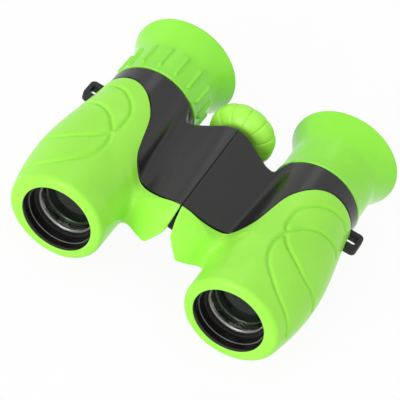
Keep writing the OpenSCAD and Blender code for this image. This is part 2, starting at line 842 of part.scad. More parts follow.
module hinge_bush() {
    color(brass_yellow) half(1) on_hinge()
        pipe(bush_r - seat_fit, screw_r, knuckle_c_y, hinge_rear_y + seat_fit,
             small_facets);
}

module hinge_washer() {
    color(steel_grey) half(1) on_hinge()
        pipe(knuckle_r, screw_r + move_gap, hinge_rear_y + 2 * seat_fit,
             hinge_rear_y + washer_h, small_facets);
}

// Sleeve round the focus nut, with a window on each side for the focus pins
module hinge_sleeve() {
    window = nut_groove_width + 2 * (focus_travel + move_gap);
    far = 2 * knuckle_r;
    color(moulded_black) half(1) on_hinge() difference() {
        pipe(knuckle_r, knuckle_r - sleeve_wall, nut_space_y + seat_fit, knuckle_c_y - seat_fit);
        translate([0, pin_y + window / 2, 0]) rotate([90, 0, 0]) linear_extrude(window)
            for (flip = [0, 1]) mirror([flip, 0])
                polygon([[0, 0], for (a = sleeve_window_angles) far * [cos(a), sin(a)]]);
    }
}

// Focus drive

// Outer radius of the wheel at a share t of its length
function wheel_r(t) = wheel_d / 2 * (1 - wheel_crown_share * pow(2 * t - 1, 2));

module focus_wheel() {
    groove_r = wheel_d / 2 * wheel_groove_share;
    hub_r = wheel_d / 2 * wheel_hub_share;
    cap_r = wheel_d / 2 * wheel_cap_share;
    color(rubber_green) half(1) on_hinge() difference() {
        turned(concat(
            [[screw_r, hub_y], [hub_r, hub_y], [hub_r, wheel_y]],
            [for (k = [0 : cup_steps]) [wheel_r(k / cup_steps), wheel_y + wheel_length * k / cup_steps]],
            [[cap_r, wheel_rear_y], [cap_r, wheel_rear_y - wheel_cap_h],
             [screw_r, wheel_rear_y - wheel_cap_h]]
        ));
        for (k = [0 : wheel_lobes - 1]) rotate([0, 360 * k / wheel_lobes, 0])
            translate([0, 0, wheel_d / 2])
                rod(groove_r, wheel_y - cut_over, wheel_rear_y + cut_over, small_facets);
    }
}

module focus_wheel_cap() {
    color(moulded_black) half(1) on_hinge()
        rod(wheel_d / 2 * wheel_cap_share - seat_fit, wheel_rear_y - wheel_cap_h + seat_fit,
            wheel_rear_y);
}

module focus_screw() {
    color(steel_grey) half(1) on_hinge()
        rod(screw_r - run_fit, nut_space_y + move_gap, wheel_rear_y - wheel_cap_h, small_facets);
}

// Threaded nut with a groove that the two focus pins ride in
module focus_nut() {
    half_groove = nut_groove_width / 2;
    color(brass_yellow) half(1) on_hinge() turned([
        [screw_r, pin_y - nut_length / 2], [nut_d / 2, pin_y - nut_length / 2],
        [nut_d / 2, pin_y - half_groove], [nut_groove_r, pin_y - half_groove],
        [nut_groove_r, pin_y + half_groove], [nut_d / 2, pin_y + half_groove],
        [nut_d / 2, pin_y + nut_length / 2], [screw_r, pin_y + nut_length / 2]
    ], small_facets);
}

left_shell();
left_armour();
left_strap_lug();
left_bridge_cover();
left_bridge_screws();
left_objective_cell();
left_objective_lens();
left_objective_ring();
left_focus_pin();
left_prism_cage();
left_half_prism();
left_roof_prism();
left_eyepiece_tube();
left_ocular_cell();
left_field_lens();
left_lens_spacer();
left_eye_lens();
left_ocular_ring();
left_eyecup();
right_shell();
right_armour();
right_strap_lug();
right_bridge_cover();
right_bridge_screws();
right_objective_cell();
right_objective_lens();
right_objective_ring();
right_focus_pin();
right_prism_cage();
right_half_prism();
right_roof_prism();
right_eyepiece_tube();
right_ocular_cell();
right_field_lens();
right_lens_spacer();
right_eye_lens();
right_ocular_ring();
right_eyecup();
diopter_ring();
hinge_screw();
hinge_bush();
hinge_washer();
hinge_sleeve();
focus_wheel();
focus_wheel_cap();
focus_screw();
focus_nut();
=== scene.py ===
# %% [markdown]
# Toy binoculars, dressed for the camera
#
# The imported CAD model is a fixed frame: it already holds every solid, joint and place. This lesson
# loads it, then lays smooth surfaces over the pieces that the eye sees first: the soft green
# armour, the black bridge and collars, the eyecups, the focus wheel and the strap lugs. Inner
# pieces such as lenses and screws keep their CAD shape and get a finish.

# %% Load the frame
import bpy
import numpy as np
from mathutils import Matrix, Vector


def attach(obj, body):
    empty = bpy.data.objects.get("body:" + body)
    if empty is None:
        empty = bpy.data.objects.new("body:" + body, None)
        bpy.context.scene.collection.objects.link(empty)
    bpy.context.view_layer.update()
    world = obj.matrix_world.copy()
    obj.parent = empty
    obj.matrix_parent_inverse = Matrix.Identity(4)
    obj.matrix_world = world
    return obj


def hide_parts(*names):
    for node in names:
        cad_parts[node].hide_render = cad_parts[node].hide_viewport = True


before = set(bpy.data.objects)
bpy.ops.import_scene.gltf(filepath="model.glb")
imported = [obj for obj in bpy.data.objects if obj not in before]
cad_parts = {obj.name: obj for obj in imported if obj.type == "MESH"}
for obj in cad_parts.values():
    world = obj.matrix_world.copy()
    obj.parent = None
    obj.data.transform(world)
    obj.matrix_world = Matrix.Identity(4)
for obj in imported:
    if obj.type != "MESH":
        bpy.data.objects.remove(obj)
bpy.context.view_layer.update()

# %% [markdown]
# Measures
#
# All shapes below are worked out in millimetres, with x across the barrels, y along them and z
# counted up from the barrel axes, because that is how a drawing of binoculars is dimensioned. One
# helper turns millimetres into the frame's metres at the very end, so no shape has to carry the
# conversion. The left half is drawn, and the right half is its mirror image. Where a shape fades in
# or out, a pair of numbers says where the fade starts and where it is done.

# %% Measures of the body
MM_PER_METRE = 1000
HALVES = ((1, "left"), (-1, "right"))
AXIS_HEIGHT = 19.7
BARREL_X = 32.0
HINGE_Z = 5.9
FRONT = -45.0
COLLAR = 19.95
ARMOUR_R = 16.3
SEAM = 0.3
UNDERSIDE = -3.7
NOTCH = np.array([5.7, UNDERSIDE])
APEX = np.array([1.2, 3.7])
GRIP_SWELL = 4.4
GRIP_MIDDLE = -21.0
GRIP_END = 20.0
LIP_DRAW = 3.5


def smooth(value, low, high):
    """Eased step: 0 below low, 1 above high, and 3t^2 - 2t^3 between them."""
    t = np.clip((value - low) / (high - low), 0, 1)
    return t * t * (3 - 2 * t)


def swell(y):
    """Reach of the grip from the barrel axis: the round radius plus a bulge that draws in as a
    parabola towards the lip and as half a cosine wave towards the eyecup."""
    ahead = LIP_DRAW * ((GRIP_MIDDLE - y) / (GRIP_MIDDLE - FRONT)) ** 2
    wave = np.clip((y - GRIP_MIDDLE) / (GRIP_END - GRIP_MIDDLE), 0, 1)
    behind = GRIP_SWELL * (1 - np.cos(np.pi * wave)) / 2
    return ARMOUR_R + GRIP_SWELL - np.where(y < GRIP_MIDDLE, ahead, behind)


print("grip reach at its widest:", swell(np.array([GRIP_MIDDLE]))[0], "mm")

# %% [markdown]
# Paths, grids and meshes
#
# Every new surface here is a grid: one direction runs around the piece, the other along it. A grid
# could be drawn by hand in edit mode, but then its edges would not follow the measures. Here each
# column starts as a rough path through a few known points, is resampled so that its points are
# evenly spaced, and is eased by averaging neighbours, which rounds every edge like a moulding does.

# %% Helpers for paths
TINY = 1e-12


def resample(paths, count):
    """Spreads count points evenly along each path: the walked length is the running sum of the
    steps, and a new point is the straight blend of the two points around its share of it."""
    steps = np.linalg.norm(np.diff(paths, axis=1), axis=2)
    walked = np.concatenate([np.zeros((len(paths), 1)), np.cumsum(steps, axis=1)], axis=1)
    wanted = np.linspace(0, 1, count)[None, :] * walked[:, -1:]
    after = np.clip((walked[:, None, :] <= wanted[:, :, None]).sum(2), 1, paths.shape[1] - 1)
    column = np.arange(len(paths))[:, None]
    low = walked[column, after - 1]
    share = (wanted - low) / np.maximum(walked[column, after] - low, TINY)
    share = np.clip(share, 0, 1)[..., None]
    return paths[column, after - 1] * (1 - share) + paths[column, after] * share


def spread(points, count):
    """The same for one path of any dimension."""
    return resample(np.asarray(points, float)[None], count)[0]


def curve_through(points, count, per_stretch=12):
    """A smooth curve through the points: a Catmull-Rom cubic on each stretch, resampled evenly."""
    p = np.asarray(points, float)
    p = np.vstack([2 * p[0] - p[1], p, 2 * p[-1] - p[-2]])
    t = np.linspace(0, 1, per_stretch, endpoint=False)[None, :, None]
    a, b, c, d = (p[k:len(p) - 3 + k, None, :] for k in range(4))
    rise = (c - a) * t + (2 * a - 5 * b + 4 * c - d) * t ** 2 + (3 * b - a - 3 * c + d) * t ** 3
    return spread(np.vstack([(b + rise / 2).reshape(-1, p.shape[1]), p[-2]]), count)


# %% Helpers for grids
def ease(grid, mask, passes, along_t=True):
    """Rounds a grid: each pass moves a point halfway to the mean of its neighbours, times mask,
    first around the piece, where the grid closes on itself, and then along it."""
    grid = grid.copy()
    for _ in range(passes):
        mean = (np.roll(grid, 1, 0) + np.roll(grid, -1, 0)) / 2
        grid = grid + mask * (mean - grid) / 2
        if along_t:
            inner = (grid[:, :-2] + grid[:, 2:]) / 2 - grid[:, 1:-1]
            grid[:, 1:-1] = grid[:, 1:-1] + mask[:, 1:-1] * inner / 2
    return grid


def ease_list(values, passes):
    """The same for a closed row of numbers or points."""
    values = np.asarray(values, float).reshape(len(values), 1, -1)
    return ease(values, np.ones((len(values), 1, 1)), passes, along_t=False)[:, 0]


def normals(grid, wrap):
    """Unit normals of a grid: the cross product of its two directions of travel."""
    around = np.gradient(grid, axis=0)
    if wrap:
        around = (np.roll(grid, -1, 0) - np.roll(grid, 1, 0)) / 2
    cross = np.cross(around, np.gradient(grid, axis=1))
    return cross / np.maximum(np.linalg.norm(cross, axis=2, keepdims=True), TINY)


def roll_over(distance, radius):
    """How far a quarter-round edge has dropped at a distance from the edge."""
    return radius - np.sqrt(radius ** 2 - np.clip(radius - distance, 0, radius) ** 2)


# %% Helper that turns a grid into a piece
def make_piece(name, grid, side, body, nodes, wrap_s=True, turned=False):
    """Builds a closed mesh. The grid's second direction always closes on itself; the first does
    too, or else its two ends are capped by strips between mirrored rows. side is 1 for the left
    half and -1 for its mirror image, and turned reverses the faces of a grid that runs the other
    way round."""
    ns, nt = grid.shape[:2]
    points = grid.reshape(-1, 3) * (side, 1, 1) + (0, 0, AXIS_HEIGHT)
    index = np.arange(ns * nt).reshape(ns, nt)
    here = index if wrap_s else index[:-1]
    ahead = np.roll(index, -1, 0) if wrap_s else index[1:]
    quads = [np.stack([here, ahead, np.roll(ahead, -1, 1), np.roll(here, -1, 1)], 2).reshape(-1, 4)]
    if not wrap_s:
        k = np.arange(nt // 2 - 1)
        for row, flip in ((index[0], 1), (index[-1], -1)):
            cap = np.stack([row[k], row[k + 1], row[nt - 2 - k], row[nt - 1 - k]], 1)
            quads.append(cap[:, ::flip])
    faces = np.concatenate(quads)
    if turned != (side < 0):
        faces = faces[:, ::-1]
    mesh = bpy.data.meshes.new(name)
    mesh.from_pydata((points / MM_PER_METRE).tolist(), [], faces.tolist())
    mesh.shade_smooth()
    mesh.update()
    piece = bpy.data.objects.new(name, mesh)
    bpy.context.scene.collection.objects.link(piece)
    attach(piece, body)
    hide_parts(*nodes)
    print(name, "has", 2 * len(faces), "triangles")
    return piece


# %% [markdown]
# Outline of one half
#
# Cut across the barrels, one half of the body is a round barrel with a wing that reaches to the
# hinge: a crown at the seam, a slope down into a valley beside the barrel, a flat underside and a
# slanted notch below the hinge. The wing is lower in front than behind, so two outlines are drawn,
# and the body between them is their straight blend. Both have the same columns, in this order:
# crown and slope, barrel, underside, notch and seam.

# %% Outlines of the body
TOP_COLUMNS = 90
BARREL_COLUMNS = 290
UNDER_COLUMNS = 40
NOTCH_COLUMNS = 34
SEAM_COLUMNS = 16
COLUMNS = TOP_COLUMNS + BARREL_COLUMNS + UNDER_COLUMNS + NOTCH_COLUMNS + SEAM_COLUMNS
VALLEY_AT = TOP_COLUMNS
FOOT_AT = TOP_COLUMNS + BARREL_COLUMNS
CORNER_AT = FOOT_AT + UNDER_COLUMNS
APEX_AT = CORNER_AT + NOTCH_COLUMNS
CROWN_POINTS = 40
FOOT_ANGLE = -np.pi + np.arcsin(-UNDERSIDE / ARMOUR_R)


def outline(top, bend, bend_half, valley):
    """Columns of one section: a crown arc of radius bend up to bend_half from the seam, a straight
    slope to the valley, the barrel's arc, then straight runs along underside, notch and seam."""
    x = np.linspace(SEAM, bend_half, CROWN_POINTS)
    crown = np.stack([x, top - bend + np.sqrt(bend ** 2 - x ** 2)], 1)
    slope = spread(np.vstack([crown, valley]), TOP_COLUMNS + 1)[:-1]
    start = np.arctan2(valley[1], valley[0] - BARREL_X)
    angle = np.linspace(start, FOOT_ANGLE, BARREL_COLUMNS + 1)
    arc = np.stack([BARREL_X + ARMOUR_R * np.cos(angle), ARMOUR_R * np.sin(angle)], 1)
    under = spread([arc[-1], NOTCH], UNDER_COLUMNS + 1)[:-1]
    notch = spread([NOTCH, APEX], NOTCH_COLUMNS + 1)[:-1]
    seam = spread([APEX, crown[0]], SEAM_COLUMNS + 1)[:-1]
    return np.vstack([slope, arc[:-1], under, notch, seam]), angle[:-1]


def near(column, reach):
    """A bell over the columns around one of them, as wide as reach columns."""
    away = np.abs((np.arange(COLUMNS) - column + COLUMNS / 2) % COLUMNS - COLUMNS / 2)
    return np.exp(-(away / reach) ** 2)[:, None]


# %% Fillets and broken corners
FOOT_FILLET_SHARE = 0.7
FILLET_PASSES = 260
SEAM_BREAK = 1.5
CORNER_BREAK = 4
APEX_BREAK = 6
BREAK_PASSES = 4


def rounded_outline(section, fillet):
    """Eases the two inner corners beside the barrel into fillets, over so many columns, and breaks
    the sharp corners at seam, underside and notch over a few columns each."""
    inner = near(VALLEY_AT, fillet) + near(FOOT_AT, fillet * FOOT_FILLET_SHARE)
    outer = near(0, SEAM_BREAK) + near(CORNER_AT, CORNER_BREAK) + near(APEX_AT, APEX_BREAK)
    section = section[:, None]
    section = ease(section, np.clip(inner, 0, 1)[:, None], FILLET_PASSES, along_t=False)
    return ease(section, np.clip(outer, 0, 1)[:, None], BREAK_PASSES, along_t=False)[:, 0]


front_sharp, front_angle = outline(top=13.4, bend=9.0, bend_half=4.6, valley=(16.5, 5.0))
rear_sharp, _ = outline(top=15.8, bend=17.0, bend_half=7.6, valley=(19.0, 9.85))
front_section = rounded_outline(front_sharp, fillet=17)
rear_section = rounded_outline(rear_sharp, fillet=19)
print("columns around one half:", COLUMNS)

# %% [markdown]
# Where the body starts and ends along the barrels
#
# The front of the bridge leans back towards its top and is set back beside the barrels. The rear
# edge sweeps forward on both sides of the hinge and runs out to the end of the collar on the
# barrel. The armour ends on a curve that is given as seen from above.

# %% Front face and rear edge
NOSE_FOOT = -32.5
NOSE_LEAN = 0.3
NOSE_SIDE = 5.7
NOSE_REACH = 16.5
NOSE_CURVE = 1.5
CREST_Z = 8.4
CREST_FALL = 0.19
CREST_ROUND = 0.45
CREST_LEAN = 0.48
CREST_LEAN_OUT = 0.34
LEAN_GROWS = (0, 10)
LEAN_FADES = (15.5, 19)
WING_PASSES = 160
WING_GROWS = (0.25, 0.95)
TAIL_Y = 16.2
TAIL_SWEEP = 4.2
TAIL_REACH = 11


def nose_y(x, z):
    """Front of the bridge: a foot line, set back more and more towards the barrel, and leaning
    back with height. Above a slanting crest it leans back more; the bend is the rounded corner
    (h + sqrt(h^2 + w^2)) / 2 of the height h over the crest. That extra lean grows away from the
    seam and fades out where the barrel begins."""
    side = np.clip(x / NOSE_REACH, 0, 1) ** NOSE_CURVE
    over = z - CREST_Z + CREST_FALL * x
    bend = (over + np.sqrt(over ** 2 + CREST_ROUND ** 2)) / 2
    more = (CREST_LEAN + CREST_LEAN_OUT * smooth(x, *LEAN_GROWS)) * (1 - smooth(x, *LEAN_FADES))
    return NOSE_FOOT + NOSE_SIDE * side + NOSE_LEAN * (z - UNDERSIDE) + more * bend


front_y = nose_y(front_section[:, 0], front_section[:, 1])
wing_share = np.ones(COLUMNS)
wing_share[VALLEY_AT:FOOT_AT] = 0
wing_share = ease_list(wing_share, WING_PASSES)[:, 0]
tail = TAIL_Y - TAIL_SWEEP * np.minimum(1, rear_section[:, 0] / TAIL_REACH) ** 2
rear_edge = COLLAR + (tail - COLLAR) * smooth(wing_share, *WING_GROWS)
print("bridge from", front_y.min().round(1), "mm, collar to", rear_edge.max().round(1), "mm")


def body_point(y):
    """Points of the bare outline at stations y, one row of stations for each column: the straight
    blend of the front and the rear outline, with the outer half of the barrel stretched to the
    reach of the grip."""
    share = np.clip((y - front_y[:, None]) / (rear_edge - front_y)[:, None], 0, 1)[..., None]
    flat = front_section[:, None] * (1 - share) + rear_section[:, None] * share
    out = np.maximum(flat[..., 0] - BARREL_X, 0) * (swell(y) / ARMOUR_R - 1)
    return np.stack([flat[..., 0] + out, y, flat[..., 1]], 2)


# %% Edge of the armour
EDGE_POINTS = 400
EDGE_PLAN = curve_through([
    (-3.2, -24.0), (0, -23.9), (4, -23.4), (7.8, -22.4), (11.2, -21.1), (13.6, -19.9),
    (16, -18.6), (18.6, -17.3), (20.9, -15.3), (22.8, -11.8), (23.9, -7.4), (24.8, -2.6),
    (26, 1.4), (28.2, 5), (30.2, 7.5), (33.2, 10.3), (37, 12.5), (41, 13.6), (46, 14.1), (56, 14.3)
], EDGE_POINTS)
HALVINGS = 30
EDGE_PASSES = 6
HINGE_REACH = 9
KNUCKLE_CLEAR = -24.3
HEAD_CLEAR = 1.8
HEAD_FADES = (3.6, 5.4)
LEAST_COVER = 0.6


def edge_y(x):
    """Rear edge of the armour at a distance x from the seam, read off its curve seen from above."""
    return np.interp(x, EDGE_PLAN[:, 0], EDGE_PLAN[:, 1])


def find_edge():
    """Where each column crosses the armour's edge: the stretch between front and rear is halved
    again and again, and the half with the crossing is kept."""
    ahead, behind = front_y, rear_edge
    for _ in range(HALVINGS):
        middle = (ahead + behind) / 2
        short = middle < edge_y(body_point(middle[:, None])[:, 0, 0])
        ahead = np.where(short, middle, ahead)
        behind = np.where(short, behind, middle)
    return ease_list(middle, EDGE_PASSES)[:, 0]


def clear_of_hinge(end):
    """Stops the armour ahead of the first hinge knuckle, and further ahead around the head of the
    hinge screw, on the columns that face the hinge."""
    away = np.hypot(front_section[:, 0], front_section[:, 1] - HINGE_Z)
    facing = (np.arange(COLUMNS) >= CORNER_AT) & (away < HINGE_REACH)
    limit = KNUCKLE_CLEAR - HEAD_CLEAR * (1 - smooth(away, *HEAD_FADES))
    return np.where(facing, np.minimum(end, limit), end)


armour_end = np.maximum(clear_of_hinge(find_edge()), front_y + LEAST_COVER)
print("armour edge runs from", armour_end.min().round(1), "to", armour_end.max().round(1), "mm")

# %% [markdown]
# Soft armour
#
# The armour is one moulded sleeve of soft green rubber: it starts inside the objective's mouth,
# rolls over the lip, swells into the grip and covers the nose of the bridge. Each column of its
# grid follows that path: bore, lip, barrel, up the front of the nose, and back over the wing. The
# columns of the wing share out the barrel's inner side in proportion to their way around the wing.
# The armour stops half a millimetre short of its edge curve, and the black skin dips under it there,
# so a fine dark parting line shows between the two.

# %% Directions around the barrel
wing_path = np.concatenate([np.arange(FOOT_AT, COLUMNS), np.arange(0, VALLEY_AT)])
walk = np.linalg.norm(np.diff(front_sharp[wing_path], axis=0), axis=1)
walk = np.concatenate([[0], np.cumsum(walk)]) / walk.sum()
flank_angle = np.zeros(COLUMNS)
flank_angle[VALLEY_AT:FOOT_AT] = front_angle
flank_angle[wing_path] = FOOT_ANGLE + (front_angle[0] - 2 * np.pi - FOOT_ANGLE) * walk
flank = np.stack([np.cos(flank_angle), np.sin(flank_angle)], 1)
outward = flank[:, :1] > 0
print("columns on the outer side of the barrel:", int(outward.sum()))

# %% Lip of the armour
MOUTH_R = 12.5
LIP_WALL = 1.6
LIP_ROUND = 2.0
LIP_EDGE = 0.3
LIP_SWELL = 0.8
BORE_END = 0.4
BORE_POINTS = 4
TURN_POINTS = 10


def lip_path():
    """Bore, small inner round, flat face and large outer round of the lip: radius r on the upright
    axis, and the share g of the grip's extra reach that each point takes on its outer side."""
    turn = np.linspace(0, np.pi / 2, TURN_POINTS)
    r = np.concatenate([np.full(BORE_POINTS, MOUTH_R), MOUTH_R + LIP_EDGE - LIP_EDGE * np.cos(turn),
                        ARMOUR_R - LIP_ROUND + LIP_ROUND * np.sin(turn)])
    y = np.concatenate([np.linspace(FRONT + LIP_WALL, FRONT + BORE_END, BORE_POINTS),
                        FRONT + LIP_EDGE - LIP_EDGE * np.sin(turn),
                        FRONT + LIP_ROUND - LIP_ROUND * np.cos(turn)])
    g = np.concatenate([np.zeros(BORE_POINTS + TURN_POINTS), np.linspace(LIP_SWELL, 1, TURN_POINTS)])
    return r, y, g


lip_r, lip_y, lip_g = lip_path()
lip_reach = lip_r + lip_g * (swell(np.full_like(lip_y, FRONT + LIP_ROUND)) - ARMOUR_R)
lip_x = np.where(outward, lip_reach, lip_r) * flank[:, :1]
lip_part = np.stack([BARREL_X + lip_x, np.broadcast_to(lip_y, lip_x.shape), lip_r * flank[:, 1:]], 2)
print("points across the lip:", len(lip_y))

# %% Barrel, nose and wing of the armour
RUN_ROWS = 24
FACE_ROWS = 28
WING_ROWS = 40
PARTING = 0.5

run_share = np.linspace(0, 1, RUN_ROWS)[None, 1:]
flank_xz = np.stack([BARREL_X + ARMOUR_R * flank[:, 0], ARMOUR_R * flank[:, 1]], 1)
flank_y = nose_y(flank_xz[:, 0], flank_xz[:, 1])
run_y = FRONT + LIP_ROUND + (flank_y[:, None] - FRONT - LIP_ROUND) * run_share
run_x = np.where(outward, swell(run_y), ARMOUR_R) * flank[:, :1]
run_part = np.stack([BARREL_X + run_x, run_y, np.broadcast_to(flank_xz[:, 1:], run_y.shape)], 2)

face_share = np.linspace(0, 1, FACE_ROWS)[None, 1:, None]
face_xz = flank_xz[:, None] * (1 - face_share) + front_section[:, None] * face_share
face_y = nose_y(face_xz[..., 0], face_xz[..., 1])
out_x = np.maximum(face_xz[..., 0] - BARREL_X, 0) * (swell(face_y) / ARMOUR_R - 1)
face_part = np.stack([face_xz[..., 0] + out_x, face_y, face_xz[..., 1]], 2)

wing_run = np.linspace(0, 1, WING_ROWS)[None, 1:]
wing_part = body_point(front_y[:, None] + (armour_end - PARTING - front_y)[:, None] * wing_run)
armour_path = np.concatenate([lip_part, run_part, face_part, wing_part], axis=1)
print("rough path of the armour:", armour_path.shape)

# %% Surface of the armour
ARMOUR_ROWS = 178
NOSE_PASSES = 8
CORNER_PASSES = 260
SEAM_CLOSE = 0.2
NOSE_FROM_Y = (-38, -34)
NOSE_TO_X = (24, 30)
KEPT_ROWS = (0, 5)
CORNER_FROM_X = (10.5, 14)
CORNER_TO_Y = (-24, -20)
CLOSE_TO_X = (0.3, 2.5)
CLOSE_FROM_Z = (5, 9)

sleeve = resample(armour_path, ARMOUR_ROWS)
rows_to_edge = ARMOUR_ROWS - 1 - np.arange(ARMOUR_ROWS)[None, :]
on_nose = smooth(sleeve[..., 1], *NOSE_FROM_Y) * (1 - smooth(sleeve[..., 0], *NOSE_TO_X))
on_nose = on_nose * smooth(rows_to_edge, *KEPT_ROWS)
in_corner = smooth(sleeve[..., 0], *CORNER_FROM_X) * (1 - smooth(sleeve[..., 1], *CORNER_TO_Y))
sleeve = ease(sleeve, on_nose[..., None], NOSE_PASSES)
sleeve = ease(sleeve, (on_nose * in_corner)[..., None], CORNER_PASSES)
by_seam = (1 - smooth(sleeve[..., 0], *CLOSE_TO_X)) * smooth(sleeve[..., 2], *CLOSE_FROM_Z)
sleeve[..., 0] -= SEAM_CLOSE * by_seam


def outward_normals(grid, wrap):
    """Normals that point away from the barrel's axis, and whether the grid runs inside out."""
    normal = normals(grid, wrap)
    reverse = np.sum(normal * (grid - (BARREL_X, 0, 0))) < 0
    return (-normal if reverse else normal), reverse


sleeve_normal, sleeve_reverse = outward_normals(sleeve, True)
print("armour grid runs inside out:", bool(sleeve_reverse))

# %% [markdown]
# Grip grooves
#
# Four shallow grooves fan out over the grip from one place on top of the barrel. They are pressed
# into the rubber, so they are real dents and not a picture of lines. Each is a curve on the
# unrolled grip: y along the barrel, and the angle around it in degrees, from the outer side over
# the top. The depth falls off like a bell with the distance to the nearest groove.

# %% Press the grooves
GROOVE_DEPTH = 0.9
GROOVE_HALF = 0.58
GROOVE_POINTS = 150
UNROLL_R = 18
GROOVES = [
    [(-13, 89), (-11, 92), (-6.5, 92.5), (-2.5, 90.5), (0.7, 85), (3.5, 77), (5.7, 68), (7.2, 57),
     (8.4, 45), (8.7, 36), (8.4, 26)],
    [(-13, 87), (-11, 82.5), (-8, 76), (-5.7, 67), (-4, 57), (-3, 46), (-2.5, 37), (-2.1, 28),
     (-2.9, 21)],
    [(-15, 87), (-18, 81.5), (-20.3, 73), (-22.8, 59), (-24, 47), (-24, 33), (-24.5, 18),
     (-24.9, 7)],
    [(-13.6, 87), (-18.9, 92), (-24, 91), (-27, 88), (-29.2, 85), (-31.8, 79), (-35.8, 65),
     (-37.6, 54), (-38.5, 43), (-39.5, 25), (-40.1, 9)],
]


def groove_depth(grid):
    """Distance on the unrolled grip to the nearest point of any groove, through a bell."""
    reach = np.where(grid[..., 0] > BARREL_X, swell(grid[..., 1]), ARMOUR_R)
    angle = np.arctan2(grid[..., 2] / ARMOUR_R, (grid[..., 0] - BARREL_X) / reach)
    flat = np.stack([grid[..., 1], angle * UNROLL_R], 2).reshape(-1, 2)
    nearest = np.full(len(flat), np.inf)
    for points in GROOVES:
        line = curve_through(np.array(points) * (1, np.radians(1) * UNROLL_R), GROOVE_POINTS)
        gap = flat[:, None] - line[None]
        nearest = np.minimum(nearest, np.sum(gap ** 2, 2).min(1))
    return (GROOVE_DEPTH * np.exp(-nearest / GROOVE_HALF ** 2)).reshape(grid.shape[:2])


pressed = groove_depth(sleeve)
print("deepest groove:", pressed.max().round(2), "mm")

# %% Armour with its rolled edge and its wall
EDGE_ROLL = 0.55
ROLL_AT_SEAM = 0.3
ROLL_GROWS = (0.5, 4)
ARMOUR_WALL = 1.3
LINING_ROWS = 16

strides = np.linalg.norm(np.diff(sleeve, axis=1), axis=2)
to_edge = np.concatenate([np.cumsum(strides[:, ::-1], 1)[:, ::-1], np.zeros((COLUMNS, 1))], 1)
roll_share = ROLL_AT_SEAM + (1 - ROLL_AT_SEAM) * smooth(sleeve[..., 0], *ROLL_GROWS)
rolled = roll_over(to_edge, EDGE_ROLL) * roll_share
sunk = sleeve - sleeve_normal * (rolled + pressed)[..., None]
lining_rows = np.linspace(ARMOUR_ROWS - 1, 0, LINING_ROWS).astype(int)
lining = sleeve[:, lining_rows] - sleeve_normal[:, lining_rows] * ARMOUR_WALL
armour_grid = np.concatenate([sunk, lining], axis=1)
armours = [
    make_piece("soft_armour_" + half, armour_grid, side, half + "_half", [half + "_armour"],
               turned=sleeve_reverse)
    for side, half in HALVES
]

# %% [markdown]
# Black bridge and collars
#
# Behind the armour the moulded shell shows: the top of the bridge, the valley beside the barrel,
# and a collar up to the eyecup. The CAD shell below it stays, because it carries the knuckles and
# the bore. This skin lies just over it, starts under the armour's edge and rolls over at the seam
# and at the rear edge, where its wall reaches down into the shell. Further forward the wall is
# thin, so that it keeps clear of the hinge knuckle and of the cells that slide in the barrel.

# %% Outer face of the skin
SKIN_ROWS = 110
SKIN_CROWD = 1.3
SKIN_INSET = 0.25
SKIN_TUCK = 0.7
SKIN_SEAM = 0.06
SEAM_ROLL = 0.15
REAR_ROLL = 0.6
DIVE = 1.5
DIVE_LESS = 0.9
PULL_TO_X = (0.3, 3)
UPRIGHT_TO_X = (0, 1.5)
DIVE_GROWS = (6, 8)
DIP_ENDS = (-0.4, 0.2)

skin_columns = np.arange(0, CORNER_AT)
skin_share = np.linspace(0, 1, SKIN_ROWS)[None, :] ** SKIN_CROWD
skin_run = (rear_edge - armour_end + SKIN_TUCK)[:, None] * skin_share
every_y = (armour_end - SKIN_TUCK)[:, None] + skin_run
skin = body_point(every_y)[skin_columns]
skin[..., 0] -= (skin[:1, :, 0] - SKIN_SEAM) * (1 - smooth(skin[..., 0], *PULL_TO_X))
skin_y = skin[..., 1]
skin_normal, skin_reverse = outward_normals(skin, False)
skin_normal[..., 0] *= smooth(skin[..., 0], *UPRIGHT_TO_X)

to_seam = np.linalg.norm(skin - skin[:1], axis=2)
to_rear = np.abs(skin_y - rear_edge[skin_columns, None])
dive = DIVE - DIVE_LESS * (1 - smooth(skin[..., 0], *DIVE_GROWS))
dip = dive * (1 - smooth(skin_y - armour_end[skin_columns, None], *DIP_ENDS))
drop = SKIN_INSET + dip + roll_over(to_seam, SEAM_ROLL) + roll_over(to_rear, REAR_ROLL)
print("skin columns and rows:", skin.shape[:2])

# %% Skin with its wall
THIN_WALL = 0.25
MORE_WALL = 0.65
SEAM_WALL = 0.7
SEAM_WIDTH = 8
REAR_WALL = 5.0
VALLEY_WIDTH = 16
FOOT_WIDTH = 12
KNUCKLE_ENDS = (-16, -11)
CELL_ENDS = (0, 8)

past_knuckle = smooth(skin_y, *KNUCKLE_ENDS)
past_cell = smooth(skin_y, *CELL_ENDS)
by_barrel = (near(VALLEY_AT, VALLEY_WIDTH) + near(FOOT_AT, FOOT_WIDTH))[skin_columns]
wall = THIN_WALL + (MORE_WALL + SEAM_WALL * near(0, SEAM_WIDTH)[skin_columns]) * past_knuckle
wall = wall + REAR_WALL * by_barrel * past_cell
skin_out = skin - skin_normal * drop[..., None]
skin_in = skin - skin_normal * (drop + wall)[..., None]
skin_grid = np.concatenate([skin_out, skin_in[:, ::-1]], axis=1)
skins = [
    make_piece("bridge_skin_" + half, skin_grid, side, half + "_half", [],
               wrap_s=False, turned=skin_reverse)
    for side, half in HALVES
]

# %% [markdown]
# Turned pieces
#
# Eyecups, diopter ring and focus wheel are round, so each is a profile carried around an axis. A
# modifier could spin it, but a grid lets the radius change around the turn as well, which gives
# the ring its ribs and the wheel its lobes.

# %% Helpers for turned pieces
def soft_profile(points, count, passes):
    """A closed profile of (radius, y) points, spread evenly and eased so that corners round."""
    return ease_list(spread(np.vstack([points, points[:1]]), count + 1)[:-1], passes)


